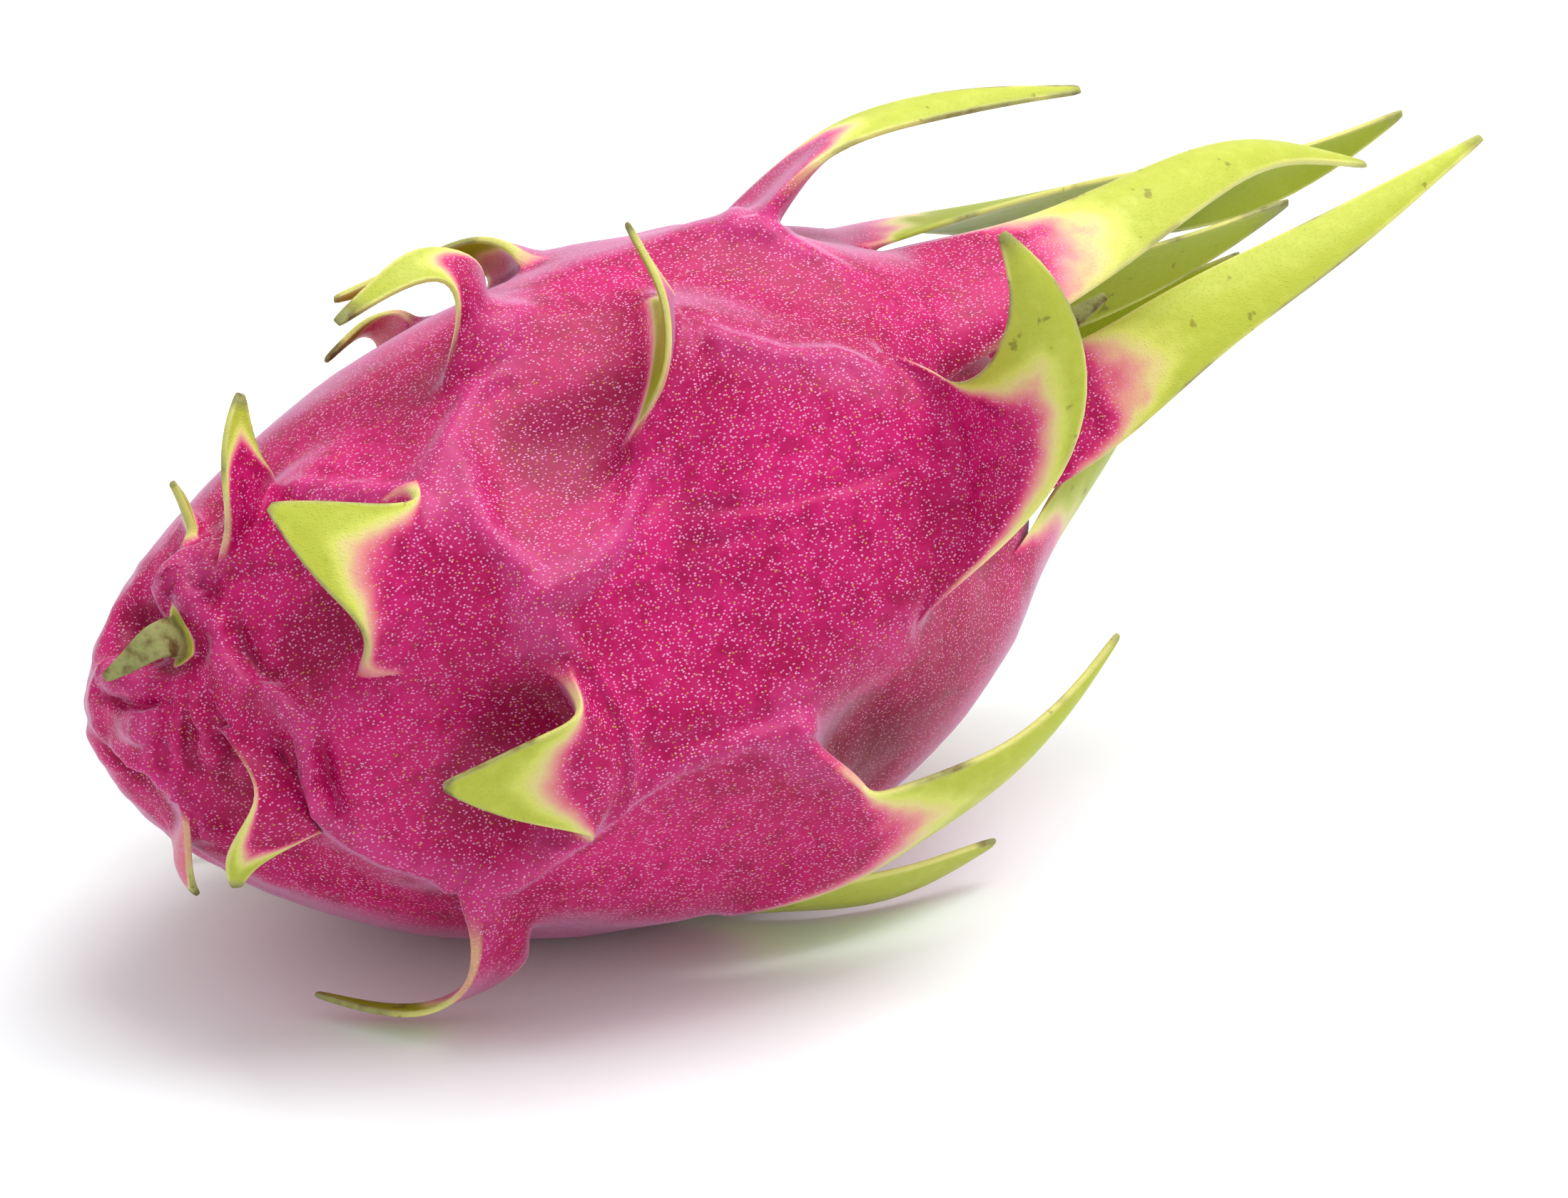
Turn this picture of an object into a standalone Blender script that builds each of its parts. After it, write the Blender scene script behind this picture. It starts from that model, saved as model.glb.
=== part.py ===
# A dragon fruit lying on its side: one grown piece, in Blender units of metres with +Z up.
#
# The skin starts as a UV sphere whose poles are the stem end (-X) and the flower end (+X).
# Each leafy scale owns a short strip of the sphere's faces. The strip is moved to the scale's
# root, the rest of the sphere is relaxed around it, the sphere is swelled to the fruit's
# profile, and the strip is then extruded along the scale's midrib, so a scale is one with
# the skin that it grows from, as on the real fruit.
#
# Lengths below are in millimetres and angles in degrees. A place on the skin is given as
# (station along the axis, angle round it): the station is 0 at mid length and grows towards
# the flower end, and the angle is 0 on top, 90 at the front (-Y), 180 below, 270 at the back.

import math
from collections import namedtuple

import bmesh
import bpy
from mathutils import Matrix, Vector

MM = 0.001

# Body: the widest station, the greatest radius, and the two ends' lengths and fullness.
WIDEST_STATION = 8.0
BODY_RADIUS = 42.3
STEM_LENGTH = 74.0
CROWN_LENGTH = 58.0
STEM_FULLNESS = 1.32
CROWN_FULLNESS = 0.90

# Centre line: it rises and then droops towards the ends, and bows away from the front.
AXIS_HALF = 66.0
AXIS_RISE = 7.0
AXIS_DROOP = 2.6
AXIS_BOW = 7.5

# Height of the body's centre above the surface that the fruit rests on.
REST_HEIGHT = 40.7

# Cage of the skin, and how many cells away from its root a scale may take its strip of faces.
SEGMENTS = 52
RINGS = 34
RELAX_ROUNDS = 60
STRIP_SEARCH = 3

# Scales: thickness at the root, in the blade and at the tip. A margin is thinner than the
# midrib by MARGIN_SHARE, and over ROOT_SHARE of its length a scale turns from its root's
# outline into a blade, while its margins lift clear of the skin by MARGIN_LIFT of its width.
ROOT_THICKNESS = 3.2
BLADE_THICKNESS = 1.7
TIP_THICKNESS = 0.9
MARGIN_SHARE = 0.55
THINNEST = 0.7
ROOT_SHARE = 0.4
MARGIN_LIFT = 0.10

# A scale's outline: how fast its base flares in, and how its strap narrows towards the tip.
FLARE_POWER = 2.6
STRAP_NARROWING = 0.35
TIP_BLUNTNESS = 0.8
TIP_HALF_WIDTH = 0.6

# Sections along a scale: one for each SECTION_LENGTH, and closer together near the root.
SECTION_LENGTH = 6.0
FEWEST_SECTIONS = 5
MOST_SECTIONS = 10
ROOT_CROWDING = 1.25
PATH_STEPS = 16

# The skin round a scale: how far it rises into the scale, and how it sinks behind it.
SWELL_REACH = 45.0
SWELL_LENGTH = 15.0
SWELL_WIDTH = 1.0
HOLLOW_SHARE = 0.45
HOLLOW_LENGTH = 9.0

SKIN_COLOUR = (0.62, 0.02, 0.16, 1.0)
SKIN_ROUGHNESS = 0.42

# root: station and angle; half: half the root's width; turn: the root's slant; sag: how far
# its corners lie towards the stem; swell: how high the skin rises into the scale, on the stem
# side, or below 0 on the flower side for one that folds back; strap: 0 for a triangle, 1 for
# an even strap; roll: twist from root to tip; cup: how far the margins curl in; path: the
# midrib's points as (along, back, up) from the body's centre.
Scale = namedtuple("Scale", "name root half turn sag swell strap roll cup columns path")

SCALES = (
    Scale("top_strap", (29, -2), 7, -15, 3, 2.0, 0.50, 60, 0.10, 4,
          ((34, 3, 49), (44, 3, 54), (61, 2, 55), (79, 0, 54))),
    Scale("crown_upper_front", (45, 30), 12, -20, 4, 3.5, 0.47, 10, 0.25, 5,
          ((56, -16, 37), (69, -16, 41), (84, -14, 44), (102, -11, 45), (124, -8, 38))),
    Scale("crown_upper_back", (47, -15), 12, -5, 3, 1.5, 0.95, -60, 0.15, 4,
          ((66, 13, 35), (84, 14, 34), (109, 13, 31), (128, 12, 31), (146, 8, 38))),
    Scale("crown_front", (55, 64), 8.5, -10, 3, 2.5, 0.62, -10, 0.20, 5,
          ((65, -22, 20), (80, -25, 29), (103, -25, 36), (134, -20, 43))),
    Scale("crown_lower_front", (50, 108), 10, 10, 2, 1.5, 0.72, 0, 0.15, 4,
          ((58, -21, 1), (69, -18, 8), (79, -14, 14), (89, -9.5, 19))),
    Scale("sail", (30, 65), 16, -12, 7, 4.5, 0.46, 75, 0.25, 6,
          ((32, -43, 27), (35, -47, 34), (35.5, -48, 41), (34, -48, 48), (30, -46, 55))),
    Scale("low_strap", (6, 115), 16, -4, 6, 3.0, 0.30, 0, 0.20, 5,
          ((13, -43, -21), (23, -46, -18), (34, -47, -14), (44, -46, -8), (51, -45, -2))),
    Scale("floor_strap", (5, 148), 9, 5, 3, 1.5, 0.80, -30, 0.10, 4,
          ((14, -30, -35), (28, -32, -36), (43, -31, -34.5))),
    Scale("foot", (-29, 124), 8.5, 40, 2, -2.0, 0.45, 0, 0.15, 4,
          ((-31, -30, -28), (-34.5, -26, -35), (-40, -21, -38), (-48, -13, -36.5))),
    Scale("belly_claw", (-21.5, 87), 11, 2, 3.5, -4.5, 0.74, 0, 0.00, 5,
          ((-26, -42.5, -1.2), (-31, -40.5, -1.6), (-36, -38.5, -1.8), (-41.5, -35, -1.6))),
    Scale("shoulder_claw", (-36, 50), 11.5, -36, 3, -4.0, 0.66, 0, 0.00, 5,
          ((-40, -24, 21.5), (-44, -19.5, 23.7), (-47, -15, 25.7), (-49.5, -10.7, 27.1))),
    Scale("fin", (-1, 28.5), 13, -35, 3, -4.0, 0.30, 30, 0.10, 5,
          ((-2, -24, 45), (-3, -21.5, 50), (-4, -17.5, 55))),
    Scale("curl", (-15.5, 4), 8.5, -47, 2, -2.5, 0.32, 0, 0.15, 4,
          ((-17, -3, 45), (-21, -3, 50), (-28, -4, 49), (-36, -4, 45))),
    Scale("back_claw", (5, -28), 9, -10, 3, -1.5, 0.35, 0, 0.10, 4,
          ((2, 24, 39), (-8, 28, 37), (-18, 30, 35))),
    Scale("back_shoulder", (-6, -50), 8, 0, 2, -1.5, 0.30, 0, 0.10, 4,
          ((-9, 34.5, 29), (-13, 34.5, 28), (-17.5, 34, 25.5))),
    Scale("brow", (-46.5, 12), 7.3, -52, 1, -2.5, 0.65, 0, 0.10, 4,
          ((-48.5, -3, 26.5), (-49, -2.5, 30), (-48, -0.5, 33.5), (-46.5, 1, 37))),
    Scale("stem_back_tip", (-49.5, -13), 5, -20, 1, 0.0, 0.60, 0, 0.10, 4,
          ((-50.8, 9.5, 21.5), (-51.8, 10, 24))),
    Scale("cheek", (-51.8, 87.5), 8.8, 38, 2, -3.5, 0.45, 0, 0.00, 4,
          ((-54.5, -21.5, -7), (-58, -19, -11), (-59.3, -16, -15), (-58, -13.5, -18.7))),
    Scale("chin", (-59, 136), 4.8, 0, 1, -1.5, 0.85, 0, 0.10, 4,
          ((-61.3, -5.5, -16.8), (-61.3, -6, -19.5), (-59.5, -5.5, -22.5))),
    Scale("scar_flap", (-58, 26), 2.5, -20, 0, 0.0, 1.20, 0, 0.00, 4,
          ((-61.5, -4, 11), (-64.5, -3.5, 9), (-68, -2.5, 7))),
    Scale("dry_flower", (64, 5), 4, 0, 1, 0.0, 0.90, 30, 0.10, 4,
          ((68, 5, 15), (75, 1, 20), (83, -2, 25))),
    Scale("crown_top_back", (48, -62), 11, 0, 3, 1.5, 0.90, 0, 0.15, 4,
          ((64, 24, 20), (80.5, 16, 18.6), (103.5, 8, 23.9), (121, 4, 30))),
    Scale("crown_back", (50, -112), 11, 0, 3, 1.5, 0.60, 0, 0.15, 4,
          ((64, 27, -4), (82, 20, 5), (98, 14, 13), (116, 8, 22))),
    Scale("crown_low_back", (47, -165), 10, 0, 3, 1.5, 0.45, 0, 0.15, 4,
          ((57, 11, -24), (66, 6, -15), (73, 2, -4))),
    Scale("back_fin", (10, -75), 14, 10, 5, 3.0, 0.25, 0, 0.15, 5,
          ((17, 49, 12), (26, 54, 12), (34, 58, 17))),
    Scale("back_low_strap", (14, -120), 14, 0, 5, 2.5, 0.40, 0, 0.15, 5,
          ((27, 43, -25), (40, 49, -22), (54, 48, -12))),
    Scale("back_belly_claw", (-14, -95), 13, 5, 5, -4.0, 0.25, 0, 0.10, 5,
          ((-18, 48, -5), (-27, 52, -5), (-36, 50, -3))),
    Scale("back_foot", (-18, -148), 9, 0, 3, -1.5, 0.40, 0, 0.10, 4,
          ((-23, 27, -35), (-32, 33, -37), (-41, 37, -35))),
    Scale("back_cheek", (-40, -105), 8, 0, 2, -1.0, 0.25, 0, 0.10, 4,
          ((-43, 35, -10), (-47, 39, -12))),
    Scale("under_stem", (-34, -140), 8, 0, 2, -0.5, 0.30, 0, 0.10, 4,
          ((-37, 27, -31), (-41, 31, -33))),
)

# Folds of the skin: a height (below 0 for a hollow) and a width, both in millimetres, and the
# places that the fold runs through. Ridges run from corner to corner of neighbouring scales,
# and a ridge has shallow valleys beside it.
Fold = namedtuple("Fold", "height width line")

VALLEY_SHARE = 0.35
VALLEY_WIDTH = 2.4

FOLDS = (
    Fold(2.8, 4.5, ((-8, 43), (-14, 54), (-24, 60), (-26, 67))),
    Fold(2.6, 4.5, ((-10, 4), (-18, 12), (-24, 20), (-30, 30), (-32, 38))),
    Fold(2.0, 4.0, ((-27, 28), (-28, 43), (-25, 58))),
    Fold(2.4, 4.5, ((-47, 104), (-42, 112), (-36, 117))),
    Fold(2.2, 4.0, ((-34, 116), (-29, 111), (-24, 101))),
    Fold(2.2, 3.5, ((-44, 68), (-49, 74))),
    Fold(2.2, 5.0, ((3, 28), (12, 37), (23, 45))),
    Fold(1.8, 5.0, ((22, 2), (30, 18))),
    Fold(1.6, 5.0, ((-19, 89), (-9, 90), (2, 92))),
    Fold(1.8, 4.0, ((2, 92), (5, 102), (14, 116))),
    Fold(1.6, 6.0, ((20, 86), (2, 92))),
    Fold(1.6, 6.0, ((1, 135), (-22, 122))),
    Fold(2.0, 4.0, ((-33, 34), (-41, 14))),
    Fold(1.6, 6.0, ((26, 7), (-8, -10))),
    Fold(2.2, 5.0, ((-8, -82), (10, -50))),
    Fold(2.2, 5.0, ((14, -100), (-12, -110))),
    Fold(1.8, 5.0, ((-8, -80), (-24, -74))),
    Fold(1.8, 5.0, ((-20, -135), (-14, -110))),
    Fold(2.2, 5.0, ((10, -50), (30, -30))),
    Fold(1.8, 5.0, ((-46, -110), (-26, -140))),
    Fold(-2.2, 8.0, ((-31, 78), (-34, 92))),
    Fold(-2.0, 7.0, ((-44, 46), (-47, 60))),
    Fold(-1.4, 7.0, ((-10, 32), (-4, 52))),
    Fold(-2.4, 8.0, ((15, 102), (22, 122))),
    Fold(-2.4, 7.0, ((40, 55), (42, 82))),
    Fold(-1.6, 8.0, ((-16, 78), (-8, 66))),
    Fold(-1.8, 8.0, ((-18, 30), (-14, 44))),
    Fold(-4.5, 4.0, ((-60, -10), (-61, 10), (-60, 22))),
    Fold(5.5, 4.0, ((-54, 5), (-54, 15))),
    Fold(4.0, 4.0, ((-62.5, 34), (-62.5, 66))),
    Fold(2.0, 3.0, ((-61, 112), (-58, 124))),
    Fold(-2.5, 2.5, ((-62, 20), (-62.5, 50), (-64, 40))),
    Fold(-4.0, 9.0, ((63, -90), (63, 90))),
)


def axis_point(station):
    """The centre line's point at a station."""
    share = station / AXIS_HALF
    back = AXIS_BOW * share**2
    up = AXIS_RISE * share - AXIS_DROOP * share**3
    return Vector((station, back, up))


def half_length(station):
    """The length from the widest station to the end that a station lies towards."""
    return CROWN_LENGTH if station > WIDEST_STATION else STEM_LENGTH


def body_radius(station):
    """The body's radius at a station, by the profile of a sphere drawn out at both ends."""
    share = (station - WIDEST_STATION) / half_length(station)
    fullness = CROWN_FULLNESS if station > WIDEST_STATION else STEM_FULLNESS
    return BODY_RADIUS * max(1.0 - share**2, 0.0) ** (fullness / 2)


def skin_point(station, angle):
    """The smooth body's point at a place on the skin, in millimetres."""
    turn = math.radians(angle)
    radius = body_radius(station)
    return axis_point(station) + Vector((0.0, -radius * math.sin(turn), radius * math.cos(turn)))


def sphere_point(station, angle):
    """The unit sphere's point that stands for a place on the skin."""
    share = (station - WIDEST_STATION) / half_length(station)
    turn = math.radians(angle)
    radius = math.sqrt(max(1.0 - share**2, 0.0))
    return Vector((share, -radius * math.sin(turn), radius * math.cos(turn)))


def place_of(direction):
    """The place on the skin that a point of the unit sphere stands for."""
    share = max(-1.0, min(1.0, direction.x))
    station = WIDEST_STATION + share * half_length(WIDEST_STATION + share)
    return station, math.degrees(math.atan2(-direction.y, direction.z))


def moved_place(place, along, across):
    """A place on the skin moved by millimetres towards the flower end and round the body."""
    station, angle = place
    slope = body_radius(station + 0.5) - body_radius(station - 0.5)
    moved = station + along / math.sqrt(1.0 + slope**2)
    return moved, angle + math.degrees(across / body_radius(station))


def root_place(scale, across, inner):
    """Where a vertex of a scale's root lies: across runs -1 to 1, inner is 0 or 1."""
    slant = math.radians(scale.turn)
    thickness = ROOT_THICKNESS * (1.0 - MARGIN_SHARE * across**2)
    along = -scale.sag * across**2 + (inner - 0.5) * thickness
    side = scale.half * across
    return moved_place(scale.root, along * math.cos(slant) + side * math.sin(slant),
                       side * math.cos(slant) - along * math.sin(slant))


def make_cage():
    """A unit sphere with its poles on X, as a bmesh and a table of its grid."""
    cage = bmesh.new()
    cage.verts.layers.int.new("cell")
    bmesh.ops.create_uvsphere(cage, u_segments=SEGMENTS, v_segments=RINGS, radius=1.0,
                              matrix=Matrix.Rotation(math.pi / 2, 4, "Y"))
    grid = {}
    for vert in cage.verts:
        ring = round(math.acos(max(-1.0, min(1.0, -vert.co.x))) / math.pi * RINGS)
        column = round(math.atan2(-vert.co.y, vert.co.z) / math.tau * SEGMENTS) % SEGMENTS
        if ring in (0, RINGS):
            column = 0
        grid[ring, column] = vert
    return cage, grid


def choose_strip(grid, taken, scale):
    """The grid rows and columns of the free strip nearest to a scale's root."""
    direction = sphere_point(*scale.root)
    ring = math.acos(-direction.x) / math.pi * RINGS - 0.5
    column = math.radians(scale.root[1]) / math.tau * SEGMENTS - scale.columns / 2
    options = []
    for ring_step in range(-STRIP_SEARCH, STRIP_SEARCH + 1):
        for column_step in range(-STRIP_SEARCH, STRIP_SEARCH + 1):
            first_ring = round(ring) + ring_step
            first_column = round(column) + column_step
            cells = [(first_ring + row, (first_column + step) % SEGMENTS)
                     for row in (0, 1) for step in range(scale.columns + 1)]
            if 1 < first_ring < RINGS - 2 and not taken.intersection(cells):
                away = (first_ring - ring) ** 2 + (first_column - column) ** 2
                options.append((away, first_ring, first_column))
    return min(options)[1:]


def pin_strips(cage, grid):
    """Moves each scale's strip to its root, and returns the strips' vertices by scale."""
    taken = set()
    strips = []
    for scale in SCALES:
        first_ring, first_column = choose_strip(grid, taken, scale)
        strip = {}
        for inner in (0, 1):
            for step in range(scale.columns + 1):
                cell = (first_ring + inner, (first_column + step) % SEGMENTS)
                taken.add(cell)
                strip[inner, step] = grid[cell]
                across = 2.0 * step / scale.columns - 1.0
                grid[cell].co = sphere_point(*root_place(scale, across, inner))
        strips.append(strip)
    return strips


def relax(cage, grid, strips):
    """Spreads the free vertices evenly over the unit sphere."""
    pinned = {vert for strip in strips for vert in strip.values()}
    pinned.update((grid[0, 0], grid[RINGS, 0]))
    free = [vert for vert in cage.verts if vert not in pinned]
    for _ in range(RELAX_ROUNDS):
        bmesh.ops.smooth_vert(cage, verts=free, factor=0.5,
                              use_axis_x=True, use_axis_y=True, use_axis_z=True)
        for vert in free:
            vert.co.normalize()


def swelling(scale, place):
    """How far the skin at a place rises into a scale, or sinks into the hollow behind it."""
    station, angle = place
    turned = (angle - scale.root[1] + 180.0) % 360.0 - 180.0
    along = station - scale.root[0]
    side = math.radians(turned) * body_radius(station)
    if math.hypot(along, side) > SWELL_REACH:
        return 0.0
    slant = math.radians(scale.turn)
    across = (side * math.cos(slant) + along * math.sin(slant)) / scale.half
    ahead = along * math.cos(slant) - side * math.sin(slant) + scale.sag * across**2
    fade = math.exp(-((across / SWELL_WIDTH) ** 4))
    if scale.swell < 0.0:
        ahead = -ahead
    if ahead > 0.0:
        return -HOLLOW_SHARE * abs(scale.swell) * fade * math.exp(-((ahead / HOLLOW_LENGTH) ** 2))
    return abs(scale.swell) * fade * math.exp(-((ahead / SWELL_LENGTH) ** 2))


def distance_to_line(point, start, end):
    """The distance from a point to a straight line between two others."""
    run = end - start
    share = max(0.0, min(1.0, (point - start).dot(run) / run.length_squared))
    return (point - start - run * share).length


def relief(point, place):
    """How far folds and scales lift a point of the smooth body, in millimetres."""
    lift = sum(swelling(scale, place) for scale in SCALES)
    for fold in FOLDS:
        knots = [skin_point(*knot) for knot in fold.line]
        away = min(distance_to_line(point, *ends) for ends in zip(knots, knots[1:]))
        crest = math.exp(-((away / fold.width) ** 2))
        valley = math.exp(-((away / fold.width / VALLEY_WIDTH) ** 2))
        lift += fold.height * ((1.0 + VALLEY_SHARE) * crest - VALLEY_SHARE * valley)
    return lift


def swell(cage):
    """Turns the relaxed unit sphere into the fruit's body with its folds, in millimetres."""
    places = [place_of(vert.co) for vert in cage.verts]
    for vert, place in zip(cage.verts, places):
        vert.co = skin_point(*place)
    cage.normal_update()
    lifts = [vert.normal * relief(vert.co, place) for vert, place in zip(cage.verts, places)]
    for vert, lift in zip(cage.verts, lifts):
        vert.co += lift
        vert.co.z = max(vert.co.z, -REST_HEIGHT)


def smooth_path(points):
    """Points evenly spaced by length along a smooth curve through the given points."""
    ends = [2 * points[0] - points[1]] + points + [2 * points[-1] - points[-2]]
    dense = []
    for a, b, c, d in zip(ends, ends[1:], ends[2:], ends[3:]):
        for step in range(PATH_STEPS):
            t = step / PATH_STEPS
            dense.append(0.5 * (2 * b + (c - a) * t + (2 * a - 5 * b + 4 * c - d) * t**2
                                + (3 * b - a - 3 * c + d) * t**3))
    dense.append(points[-1])
    return dense


def along_path(dense, share):
    """The point and direction at a share of a dense path's length."""
    lengths = [0.0]
    for first, second in zip(dense, dense[1:]):
        lengths.append(lengths[-1] + (second - first).length)
    goal = share * lengths[-1]
    index = max(i for i, length in enumerate(lengths[:-1]) if length <= goal)
    rest = (goal - lengths[index]) / (lengths[index + 1] - lengths[index])
    before = dense[max(index - 1, 0)]
    after = dense[min(index + 2, len(dense) - 1)]
    return dense[index].lerp(dense[index + 1], rest), (after - before).normalized()


def eased(share):
    """A share from 0 to 1 that starts and ends gently."""
    return share * share * (3.0 - 2.0 * share)


def half_width(scale, share):
    """Half a scale's width at a share of its length: a flare, a strap and a pointed tip."""
    flare = (1.0 - scale.strap) * (1.0 - share) ** FLARE_POWER
    strap = scale.strap * (1.0 - share**3) ** TIP_BLUNTNESS * (1.0 - STRAP_NARROWING * share)
    return max(scale.half * (flare + strap), TIP_HALF_WIDTH)


def grow_scale(cage, scale, strip):
    """Extrudes a scale's strip of faces along its midrib."""
    centre = sum((vert.co for vert in strip.values()), Vector()) / len(strip)
    dense = smooth_path([centre] + [Vector(point) for point in scale.path])
    length = sum((b - a).length for a, b in zip(dense, dense[1:]))
    sections = max(FEWEST_SECTIONS, min(MOST_SECTIONS, round(length / SECTION_LENGTH)))
    width_axis = strip[0, scale.columns].co - strip[0, 0].co
    outward = (centre - axis_point(scale.root[0])).normalized()
    outline = {}
    marks = cage.verts.layers.int["cell"]
    for (inner, step), vert in strip.items():
        vert[marks] = 1 + inner + 2 * step
        outline[inner, step] = vert.co - centre
    cells = set(strip.values())
    faces = [face for face in cage.faces if all(vert in cells for vert in face.verts)]
    for section in range(1, sections + 1):
        grown = bmesh.ops.extrude_face_region(cage, geom=faces)["geom"]
        bmesh.ops.delete(cage, geom=faces, context="FACES")
        faces = [item for item in grown if isinstance(item, bmesh.types.BMFace)]
        share = (section / sections) ** ROOT_CROWDING
        point, heading = along_path(dense, share)
        width_axis = (width_axis - heading * heading.dot(width_axis)).normalized()
        twist = math.radians(scale.roll) * eased(share)
        side = Matrix.Rotation(twist, 3, heading) @ width_axis
        inward = heading.cross(side)
        half = half_width(scale, share)
        thickness = BLADE_THICKNESS + (TIP_THICKNESS - BLADE_THICKNESS) * share
        free = eased(min(1.0, share / ROOT_SHARE))
        for vert in {vert for face in faces for vert in face.verts}:
            step, inner = divmod(vert[marks] - 1, 2)
            across = 2.0 * step / scale.columns - 1.0
            lag = scale.sag * (1.0 - share) ** 2 * across**2
            curl = scale.cup * half * across**2
            depth = (inner - 0.5) * max(thickness * (1.0 - MARGIN_SHARE * across**2), THINNEST)
            blade = side * (half * across) - heading * lag + inward * (curl + depth)
            root = outline[inner, step] * (half / scale.half)
            lifted = outward * (MARGIN_LIFT * half * across**2 * 4.0 * free * (1.0 - free))
            vert.co = point + root.lerp(blade, free) + lifted
    for face in faces:
        for vert in face.verts:
            vert[marks] = 0


def stand_on_origin(cage):
    """Centres the box over the origin, rests its bottom on z = 0, and turns to metres."""
    low = Vector(min(vert.co[axis] for vert in cage.verts) for axis in range(3))
    high = Vector(max(vert.co[axis] for vert in cage.verts) for axis in range(3))
    middle = (low + high) / 2
    bmesh.ops.translate(cage, verts=cage.verts, vec=(-middle.x, -middle.y, REST_HEIGHT))
    bmesh.ops.scale(cage, verts=cage.verts, vec=(MM, MM, MM))


def skin_material():
    material = bpy.data.materials.new("dragon_fruit_skin")
    material.use_nodes = True
    shader = material.node_tree.nodes["Principled BSDF"]
    shader.inputs["Base Color"].default_value = SKIN_COLOUR
    shader.inputs["Roughness"].default_value = SKIN_ROUGHNESS
    shader.inputs["Metallic"].default_value = 0.0
    return material


def main():
    for thing in list(bpy.data.objects):
        bpy.data.objects.remove(thing)
    cage, grid = make_cage()
    strips = pin_strips(cage, grid)
    relax(cage, grid, strips)
    swell(cage)
    for scale, strip in zip(SCALES, strips):
        grow_scale(cage, scale, strip)
    stand_on_origin(cage)
    mesh = bpy.data.meshes.new("dragon_fruit")
    cage.to_mesh(mesh)
    cage.free()
    mesh.shade_smooth()
    fruit = bpy.data.objects.new("dragon_fruit", mesh)
    mesh.materials.append(skin_material())
    collection = bpy.data.collections.new("dragon_fruit")
    bpy.context.scene.collection.children.link(collection)
    collection.objects.link(fruit)


main()
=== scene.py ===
# %% [markdown]
# # A dragon fruit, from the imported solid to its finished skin
#
# A dragon fruit is the ripe fruit of a climbing cactus. Its leathery magenta skin carries leafy
# scales, left over from the flower. They curl off the skin with yellow-green margins, and the
# ones at the flower end are long green straps.
#
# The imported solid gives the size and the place. Everything below is built over it, in metres.

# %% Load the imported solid
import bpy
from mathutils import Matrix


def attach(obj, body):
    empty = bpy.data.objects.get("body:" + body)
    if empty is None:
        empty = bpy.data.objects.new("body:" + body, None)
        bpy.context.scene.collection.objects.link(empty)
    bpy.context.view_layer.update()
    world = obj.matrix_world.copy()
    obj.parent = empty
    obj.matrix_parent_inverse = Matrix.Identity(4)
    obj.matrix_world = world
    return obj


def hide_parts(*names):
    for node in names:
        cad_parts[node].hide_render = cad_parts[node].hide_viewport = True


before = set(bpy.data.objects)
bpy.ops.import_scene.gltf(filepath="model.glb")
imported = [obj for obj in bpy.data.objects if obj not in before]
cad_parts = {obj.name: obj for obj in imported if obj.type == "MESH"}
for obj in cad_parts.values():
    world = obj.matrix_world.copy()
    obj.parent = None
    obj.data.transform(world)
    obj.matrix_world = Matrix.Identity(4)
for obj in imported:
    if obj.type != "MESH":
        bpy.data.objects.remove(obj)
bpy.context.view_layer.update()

# %% Modules and units
import math
from collections import namedtuple

import bmesh
import bpy
import numpy as np
from mathutils import Matrix, Vector, noise

MM = 0.001
print("one unit of the tables below is", MM, "metres")

# %% [markdown]
# ## The body's profile
#
# The fruit could be sculpted by hand, or turned on a spin tool. Here a unit sphere is drawn out
# by a formula, because a sphere has even faces that scales can grow from, and because a formula
# gives every point of the skin an address: its station along the axis, and its angle round it.
# The station is in millimetres from mid length and grows towards the flower end. The angle is
# 0 on top, 90 at the front, 180 below and 270 at the back.

# %% Profile and centre line
WIDEST_STATION = 8.0
BODY_RADIUS = 42.3
STEM_LENGTH = 74.0
CROWN_LENGTH = 58.0
STEM_FULLNESS = 1.32
CROWN_FULLNESS = 0.90
AXIS_HALF = 66.0
AXIS_RISE = 7.0
AXIS_DROOP = 2.6
AXIS_BOW = 7.5
REST_HEIGHT = 40.7


def points(x, y, z):
    """Rows of points from three arrays or numbers."""
    return np.stack(np.broadcast_arrays(x, y, z), axis=-1).astype(float)


def axis_point(station):
    """The bent centre line's point at a station."""
    share = np.asarray(station) / AXIS_HALF
    return points(station, AXIS_BOW * share**2, AXIS_RISE * share - AXIS_DROOP * share**3)


def half_length(station):
    """The length from the widest station to the end that a station lies towards."""
    return np.where(np.asarray(station) > WIDEST_STATION, CROWN_LENGTH, STEM_LENGTH)


def body_radius(station):
    """The body's radius at a station."""
    share = (np.asarray(station) - WIDEST_STATION) / half_length(station)
    fullness = np.where(np.asarray(station) > WIDEST_STATION, CROWN_FULLNESS, STEM_FULLNESS)
    return BODY_RADIUS * np.maximum(1.0 - share**2, 0.0) ** (fullness / 2)


def skin_point(station, angle):
    """The smooth body's point at an address on the skin, in millimetres."""
    turn = np.radians(angle)
    radius = body_radius(station)
    return axis_point(station) + points(0.0, -radius * np.sin(turn), radius * np.cos(turn))


def sphere_point(station, angle):
    """The unit sphere's point that stands for an address on the skin."""
    share = (station - WIDEST_STATION) / half_length(station)
    turn = np.radians(angle)
    radius = np.sqrt(np.maximum(1.0 - share**2, 0.0))
    return points(share, -radius * np.sin(turn), radius * np.cos(turn))


def address_of(directions):
    """The stations and angles that points of the unit sphere stand for."""
    share = np.clip(directions[..., 0], -1.0, 1.0)
    length = np.where(share > 0, CROWN_LENGTH, STEM_LENGTH)
    angle = np.degrees(np.arctan2(-directions[..., 1], directions[..., 2]))
    return WIDEST_STATION + share * length, angle


print("body", round(STEM_LENGTH + CROWN_LENGTH), "mm long,", round(2 * BODY_RADIUS), "mm across")

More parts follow.
